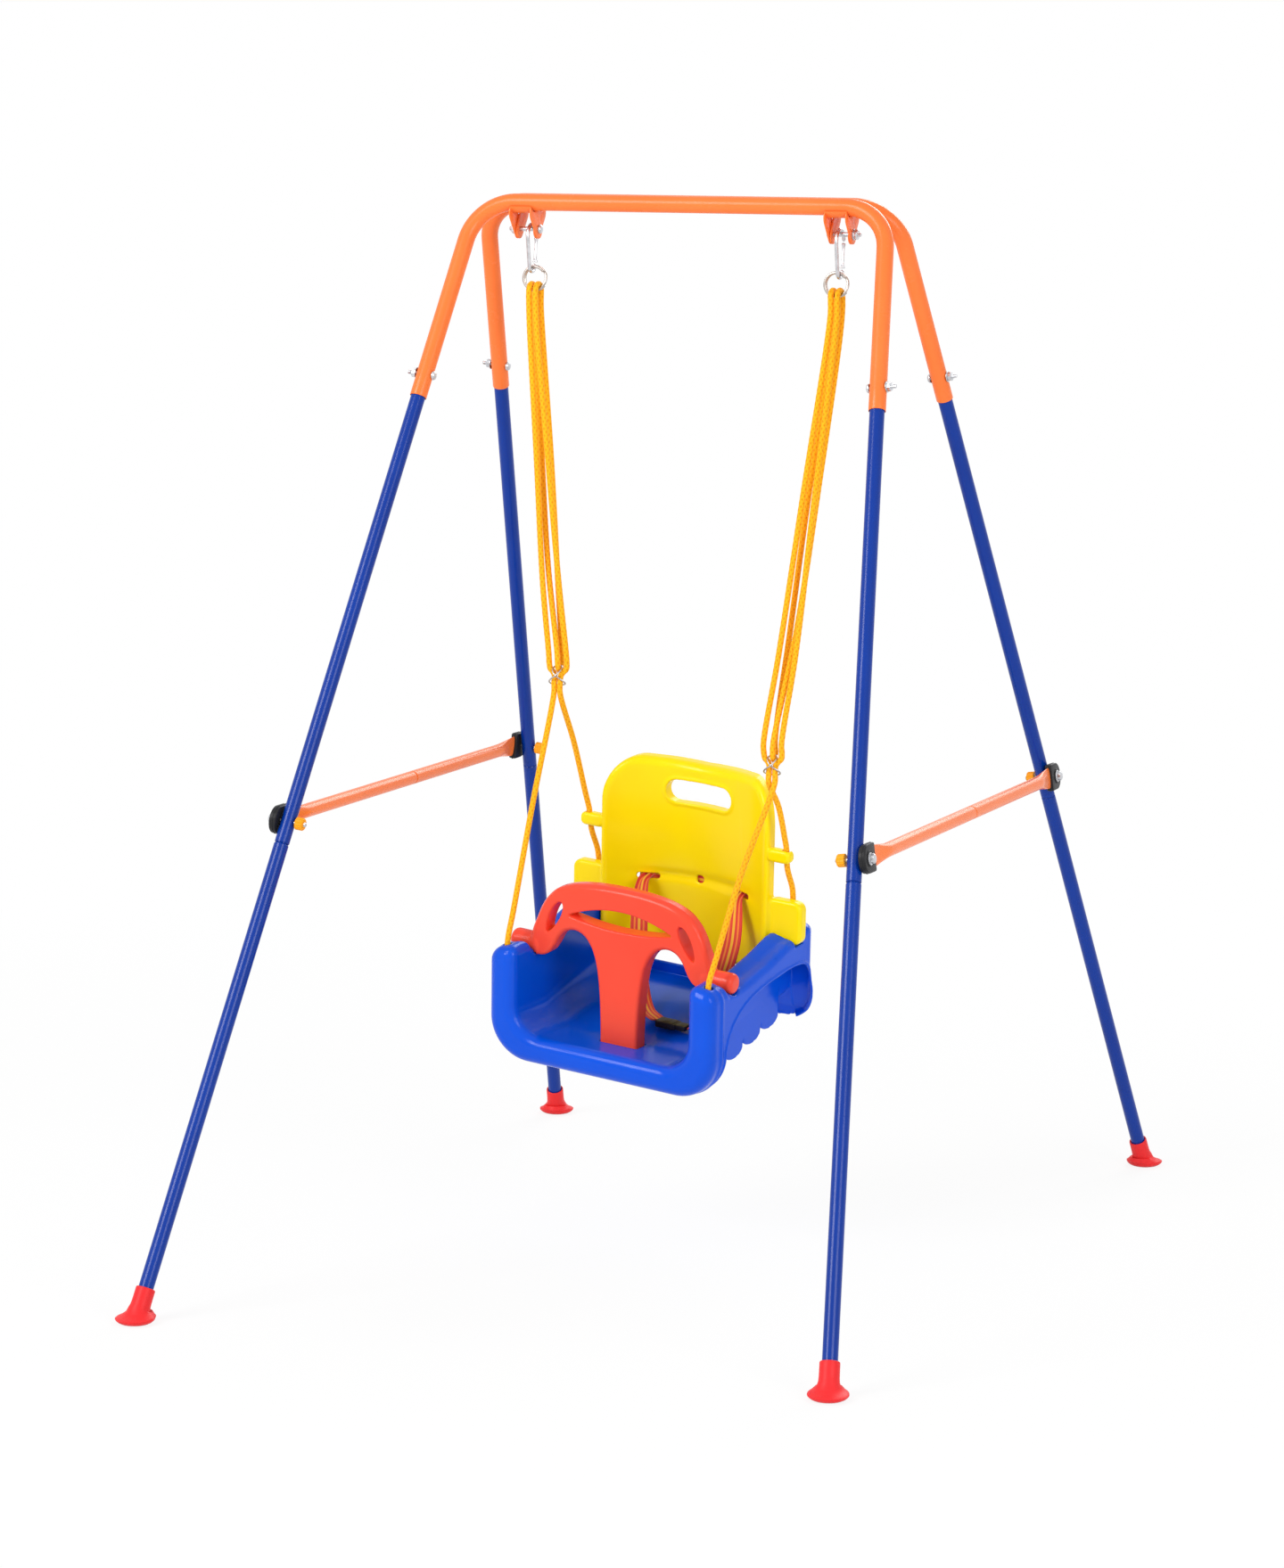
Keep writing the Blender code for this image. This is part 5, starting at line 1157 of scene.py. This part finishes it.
top_level = eased([
    (-40, 4), (-22, 6), (-15, 8), (12, 8), (20, 6), (26, -4), (58, -4), (93, 1), (130, 7), (160, 14),
    (180, 19), (216, 21), (224, 27), (232, 30), (245, 28), (256, 20), (300, 20),
], 2.2)
low_level = eased([
    (-22, -146), (10, -146), (60, -138), (130, -128), (200, -122), (236, -119), (252, -116),
], 8.0)
floor_level = eased([
    (-22, -108), (10, -110), (60, -113), (130, -103), (200, -95), (236, -92), (252, -90),
], 8.0)
under_level = eased([(18, -118.5), (60, -118.5), (130, -108.5), (200, -100.5), (247, -97.5)], 4.0)
arch_line = smooth_path([
    (16, -84, 0), (24, -64, 0), (42, -44, 0), (66, -31, 0), (100, -22, 0), (145, -17, 0), (200, -16, 0),
    (225, -22, 0), (238, -36, 0), (243, -60, 0),
], 60)[:, :2]
arch = outline_distance(np.concatenate([[(16, -200)], arch_line, [(246, -200)]]))
lobes = [arc((0, 0), 1.0, 180, 360, 14) * (23.0, 13.0) + (57 + 46 * k, -121 + 7.5 * k) for k in range(4)]
scallop = outline_distance(np.concatenate(lobes + [[(218, -48), (34, -48)]]))


def seat_solid(x, y, z):
    """Distance to the tub in seat millimetres: bent outer wall less the well, under a sloping top."""
    side = np.abs(x)
    skirt = np.clip((-30.0 - z) / 70.0, 0.0, 1.0) ** 1.5
    y = y - 14.0 * skirt * ramp(y, 215.0, 44.0)
    wide = np.interp(y, (200.0, 236.0, 252.0), (171.0, 170.0, 163.0)) + 5.0 * skirt * ramp(y, 195.0, 50.0)
    flange = 2.0 * np.exp(-(((y - 5.0) / 3.5) ** 2))
    outer = bent_corner(side, z, wide, low_level(y), 58.0) - flange
    well = bent_corner(side, z, WELL_HALF, floor_level(y), 40.0)
    channel = 2.4 * np.exp(-(((side - 152.0) / 8.0) ** 2)) * ramp(y, 62.0, 20.0) * ramp(-y, -196.0, 14.0)
    crest = 0.97 * (z - top_level(y) - 0.22 * (151.0 - side) + channel)
    tub = rounded_and(rounded_and(outer, -well, 3.0), crest, 7.0 + 9.0 * ramp(-y, -28.0, 16.0))
    tub = rounded_and(tub, -22.0 - y, 16.0)
    tub = rounded_and(tub, y - 252.0, 6.0)
    pin = np.hypot(y - PIN_Y, z - PIN_Z) - 14.6
    pin = np.minimum(pin, np.maximum(np.abs(y - PIN_Y) - 15.4, PIN_Z - z))
    notch = np.maximum(np.maximum(8.4 - z, np.abs(y - NOTCH_Y) - 10.6), 120.0 - side)
    hollow = np.maximum(tub + SEAT_WALL, SEAT_WALL - np.minimum(pin, notch))
    hollow = np.maximum(hollow, np.maximum(16.0 - y, np.minimum(y - 228.0, z + 12.0)))
    tub = rounded_and(tub, -hollow, 1.0)
    tub = rounded_and(tub, -pin, 1.6)
    tub = rounded_and(tub, -notch, 1.6)
    beneath = np.maximum(np.maximum(z - under_level(y), side - 136.5), np.maximum(14.0 - y, y - 248.0))
    tub = rounded_and(tub, -beneath, 1.2)
    opening = arch(y, z)
    tub = rounded_and(tub, -np.maximum(opening, 137.5 - side), 1.6)
    bead = np.maximum(np.hypot(opening, outer + 0.4) - 2.2, 140.0 - side)
    tub = rounded_or(tub, bead, 1.2)
    rise = 7.0 * ramp(side, 124.0, 8.5)
    rear = np.maximum(side - 132.5, np.abs(z + 86.5 - rise) - 12.5 - rise)
    tub = rounded_or(tub, np.maximum(np.abs(y - 249.2) - 2.2, rear), 2.0)
    rib = np.minimum(np.minimum(np.abs(side - 45.0), np.abs(side - 112.0)), np.abs(side - 132.2)) - 2.2
    tub = rounded_or(tub, np.maximum(rounded_and(scallop(y, z), rib, 1.6), 1.2 - well), 1.2)
    front_hole = np.maximum(np.hypot(side - FRONT_HOLE_X, y) - 5.4, -30.0 - z)
    rear_hole = np.maximum(np.hypot(side - REAR_HOLE_X, y - REAR_HOLE_Y) - 6.6, -30.0 - z)
    tub = rounded_and(tub, -front_hole, 1.4)
    tub = rounded_and(tub, -rear_hole, 1.2)
    socket = np.maximum(rounded_box(x, y - PIN_Y, 28.8, 13.8, 3.0), z + 90.0)
    return rounded_and(tub, -socket, 1.0)


glossy_blue = moulded_plastic(
    "glossy_blue", (0.0, 0.092, 0.74, 1.0), (0.0, 0.072, 0.64, 1.0), 0.19, 0.1, coat=0.05
)
moulded_piece(
    "seat_tub", moulded(seat_solid, (-178, -30, -152), (178, 272, 42), 2.4),
    glossy_blue, "swing", ["seat_base"],
)


# Backrest: a yellow panel, dished to the child's back and open behind, with its edges turned
# back 24 mm. Ears at its foot drop into the side walls, and two clips hold the rear ropes.

PANEL_Y = 184.0
PANEL_HALF = 129.0
PANEL_RADIUS = (PANEL_HALF**2 + 50.0**2) / 100.0
corner = arc((0, 0), 1.0, 0, 90, 24) * (44.0, 60.0) + (PANEL_HALF - 44.0, 212.0)
half_panel = np.concatenate([
    [(0, 2), (100, 2)], arc((PANEL_HALF - 16, 18), 16, -80, 0, 10), corner, [(0, 268)],
])
panel = outline_distance(np.concatenate([half_panel, half_panel[-2:0:-1] * (-1, 1)]))


def dish(side):
    """How far the panel lies behind its front edges: an arc of a circle through both."""
    reach = np.minimum(side, PANEL_HALF)
    return np.sqrt(PANEL_RADIUS**2 - reach**2) - math.sqrt(PANEL_RADIUS**2 - PANEL_HALF**2)


def back_solid(x, y, z):
    """Distance to the backrest in seat millimetres, measured back from its dished face."""
    side = np.abs(x)
    depth = y - PANEL_Y - dish(side)
    level = z + 50.0
    groove = 2.8 * np.exp(-(((level - 111.0) / 8.0) ** 2)) * ramp(-side, -112.0, 50.0)
    sunk = depth - groove
    plan = panel(side, level)
    body = rounded_and(plan, -sunk, 12.0)
    body = rounded_and(body, depth - 24.0, 1.6)
    tray = rounded_and(plan + 3.8, 3.6 - sunk, 8.5)
    body = rounded_and(body, -tray, 1.2)
    slot = rounded_box(x, level - 229.0, 50.0, 15.5, 15.5)
    rim = rounded_and(slot - 4.6, np.abs(depth - 7.0) - 8.2, 3.2)
    body = rounded_or(body, rim, 3.0)
    body = rounded_and(body, -slot, 2.0)
    body = rounded_and(body, 5.6 - np.hypot(x, level - 110.0), 1.2)
    body = rounded_and(body, -rounded_box(side - 72.0, level - 106.0, 14.5, 3.5, 3.0), 1.2)
    tab = rounded_box(side - 150.0, level - 88.5, 26.0, 29.5, 12.0)
    ear = rounded_and(tab, np.abs(y - 206.25) - 9.25, 5.0)
    pocket = rounded_and(rounded_box(side - 150.9, level - 88.5, 21.5, 25.9, 8.0), 200.6 - y, 2.0)
    ear = rounded_and(ear, -pocket, 1.0)
    body = rounded_or(body, ear, 5.0)
    clip = rounded_and(rounded_box(side - 143.5, level - 180.0, 17.5, 9.0, 7.5), np.abs(y - 197.0) - 8.0, 5.0)
    groove_cut = np.maximum(np.abs(side - 151.5) - 4.6, 193.3 - y)
    clip = rounded_and(clip, -groove_cut, 1.2)
    return rounded_or(body, clip, 2.0)


glossy_yellow = moulded_plastic(
    "glossy_yellow", (1.0, 0.80, 0.0, 1.0), (1.0, 0.73, 0.0, 1.0), 0.24, 0.1, coat=0.05
)
moulded_piece(
    "backrest_panel", moulded(back_solid, (-182, 178, -54), (182, 264, 224), 1.8),
    glossy_yellow, "swing", ["backrest"],
)


# T-bar: a red moulded safety bar. Its arched grip spans the seat, its pins lie in the saddles of
# the side walls, and its stem drops into a socket in the floor between the child's legs.

right_side = [
    (28, -124), (28.4, -90), (30, -55), (33, -25), (38, 0), (46, 17), (57, 28), (70, 32), (83, 29),
    (93, 20), (101, 6), (109, -5), (118, -10), (128, -11),
]
over_pin = [(136, 12), (135, 24), (130, 38), (123, 56), (113, 72), (99, 85), (78, 94), (45, 100), (0, 102)]
lower_curve = smooth_path([(x, z, 0) for x, z in right_side], 70)[:, :2]
upper_curve = smooth_path([(x, z, 0) for x, z in over_pin + [(-45, 100), (-78, 94)]], 90)[:, :2]
upper_curve = upper_curve[upper_curve[:, 0] > 0.5]
half_bar = np.concatenate([[(0, -124)], lower_curve, upper_curve, [(0, 102)]])
bar_plan = outline_distance(np.concatenate([half_bar, half_bar[-2:0:-1] * (-1, 1)]), step=0.8)
wide = np.linspace(-77.0, 77.0, 41)
bulge = 1.0 - (wide / 77.0) ** 2
lens_low = np.stack([wide, 52.0 - 8.0 * bulge], 1)
lens_top = np.stack([wide, 54.0 + 17.0 * bulge], 1)
lens_window = outline_distance(np.concatenate([lens_low, lens_top[::-1]]), step=0.8)
leaf_tip = np.array((90.0, 68.0))
leaf_along = (112.0, 24.0) - leaf_tip
leaf_side = np.array((-leaf_along[1], leaf_along[0])) / np.linalg.norm(leaf_along)
share = np.linspace(0.0, 1.0, 24)[:, None]
leaf_bulge = 7.6 * np.sin(math.pi * share**0.8) ** 0.6
leaf_bows = [leaf_tip + share * leaf_along + sign * leaf_bulge * leaf_side for sign in (1.0, -1.0)]
leaf_window = outline_distance(np.concatenate([leaf_bows[0], leaf_bows[1][-2:0:-1]]), step=0.8)


def bar_solid(x, y, z):
    """Distance to the safety bar: its outline less three windows, 26 mm deep, and a pin each side."""
    side = np.abs(x)
    bend = 5.0 + 4.5 * ramp(z, 5.0, 45.0)
    body = rounded_and(bar_plan(side, z), np.abs(y - PIN_Y) - 13.0, bend)
    body = rounded_and(body, -np.minimum(lens_window(side, z), leaf_window(side, z)), 3.0)
    pin = rounded_and(np.hypot(y - PIN_Y, z - PIN_Z) - 14.0, np.abs(side - 146.0) - 23.0, 7.0)
    return rounded_or(body, pin, 4.0)


glossy_red = moulded_plastic(
    "glossy_red", (0.94, 0.082, 0.040, 1.0), (0.90, 0.060, 0.030, 1.0), 0.20, 0.1, coat=0.05
)
moulded_piece(
    "safety_bar", moulded(bar_solid, (-174, 25, -128), (174, 59, 106), 1.25),
    glossy_red, "lift_out_bar", ["t_bar"],
)


# Harness: woven red webbing, 23 mm wide, striped in orange and yellow along its length. It comes
# out of two slots in the backrest and down to a black buckle that lies on the seat.

webbing = Finish(bpy.data.materials.new("striped_webbing"))
web_at = webbing.node("ShaderNodeSeparateXYZ", {0: webbing.node("ShaderNodeUVMap", uv_map="turn_and_metres")})
web_along = Wire(webbing, web_at.socket.node.outputs["Y"])
web_across = (web_at * 2.0 - 1.0).math("ABSOLUTE")
web_colour = webbing.node("ShaderNodeValToRGB", {0: (web_across - 0.5).math("ABSOLUTE") * 2.0}, stops=(
    (0.00, (0.95, 0.50, 0.02, 1.0)), (0.12, (0.95, 0.50, 0.02, 1.0)), (0.17, (0.75, 0.035, 0.018, 1.0)),
    (0.40, (0.75, 0.035, 0.018, 1.0)), (0.45, (0.95, 0.25, 0.02, 1.0)), (0.60, (0.95, 0.25, 0.02, 1.0)),
    (0.65, (0.72, 0.030, 0.016, 1.0)), (1.00, (0.72, 0.030, 0.016, 1.0)),
))
rib_wave = (web_across * 18.0 * 2.0 * math.pi).math("SINE")
pick_wave = (web_along * (2.0 * math.pi / 0.0016)).math("SINE")
weave = rib_wave * pick_wave * 0.5 + 0.5
dim = webbing.blend(weave * 0.35, web_colour, (0.30, 0.02, 0.008, 1.0))
webbing.dress({
    "Base Color": dim, "Roughness": 0.68, "Sheen Weight": 0.2, "Normal": webbing.bumped(weave, 0.55, 0.0004),
})


def strap_rows(points, first, last, gather=0.0, half=0.0115, thick=0.0009, count=150):
    """A flat strap along seat points: an oval row at each step, its width turned from first to last.

    Where it is gathered, at its start, it is narrower by that share and ripples across.
    """
    path = smooth_path(from_seat(points), count)
    ahead = np.gradient(path, axis=0)
    ahead /= np.linalg.norm(ahead, axis=1)[:, None]
    share = np.linspace(0.0, 1.0, count)[:, None]
    wide = (1.0 - share) * (np.array(SEAT_TURN) @ first) + share * (np.array(SEAT_TURN) @ last)
    wide = wide - ahead * (wide * ahead).sum(1)[:, None]
    wide /= np.linalg.norm(wide, axis=1)[:, None]
    up = np.cross(ahead, wide)
    turn = 2.0 * math.pi * np.arange(40) / 40
    tri = 1.0 - np.abs(1.0 - turn / math.pi) * 2.0
    level = np.sign(np.sin(turn)) * np.minimum(1.0, (1.0 - np.abs(tri)) * 14.0) ** 0.5
    bunch = gather * np.exp(-((share / 0.16) ** 2))
    cup = 0.0009 * (tri**2 - 0.5) + 0.006 * bunch * np.cos(2.0 * math.pi * tri)
    rows = path[:, None] - half * (1.0 - bunch)[:, :, None] * tri[None, :, None] * wide[:, None]
    return rows + (thick * level + cup)[:, :, None] * up[:, None], path


slot_y = PANEL_Y + float(dish(71.0)) + 1.0
behind = [(x, PANEL_Y + float(dish(abs(x))) + 7.8, 58) for x in np.linspace(-85.0, 85.0, 11)]
down_left = [(-71, slot_y + 5, 57), (-71, slot_y, 57), (-70, 206, 53), (-60, 180, 8), (-40, 152, -60)]
down_left += [(-10, 122, -92), (14, 108, -97)]
down_right = [(71, slot_y + 5, 57), (71, slot_y, 57), (72, 210, 52), (93, 160, 4), (92, 122, -50)]
down_right += [(78, 108, -86), (66, 104, -97)]
ACROSS, BACK, UP = np.eye(3)
for strap_name, route, first, last, gather, stands_for in (
    ("left", down_left, ACROSS, BACK, 0.35, ["shoulder_strap_left"]),
    ("right", down_right, ACROSS, BACK, 0.35, ["shoulder_strap_right"]),
    ("behind", behind, UP, UP, 0.0, []),
):
    rows, path = strap_rows(route, first, last, gather)
    piece(
        f"harness_strap_{strap_name}", [skin(rows, metres=distances(path))],
        webbing.owner, "swing", stands_for, 60.0,
    )

buckle_at = (40.0, 104.0, -98.0)


def buckle_plate(half_x, half_y, low, high, soft, bend, shift=0.0):
    """A block with round corners, as rows in the seat's axes round the buckle's middle."""
    ring = np.concatenate([
        arc((u * (half_x - bend), v * (half_y - bend)), bend, start, start + 90, 6)
        for u, v, start in ((1, 1, 0), (-1, 1, 90), (-1, -1, 180), (1, -1, 270))
    ])
    return from_seat(plate(ring, low, high, soft, axis=2) + (buckle_at[0] + shift, *buckle_at[1:]))


piece(
    "harness_buckle",
    [
        skin(buckle_plate(14.0, 10.0, -4.5, 4.5, 1.6, 3.0, -9.0)),
        skin(buckle_plate(9.0, 8.0, -3.4, 3.4, 1.2, 2.5, 13.5)),
        skin(buckle_plate(5.0, 6.5, -4.9, 4.9, 0.8, 2.5, -9.0)),
        skin(buckle_plate(2.0, 10.0, -3.8, 3.8, 1.0, 1.5, 5.6)),
    ],
    black_plastic, "swing", ["buckle"],
)
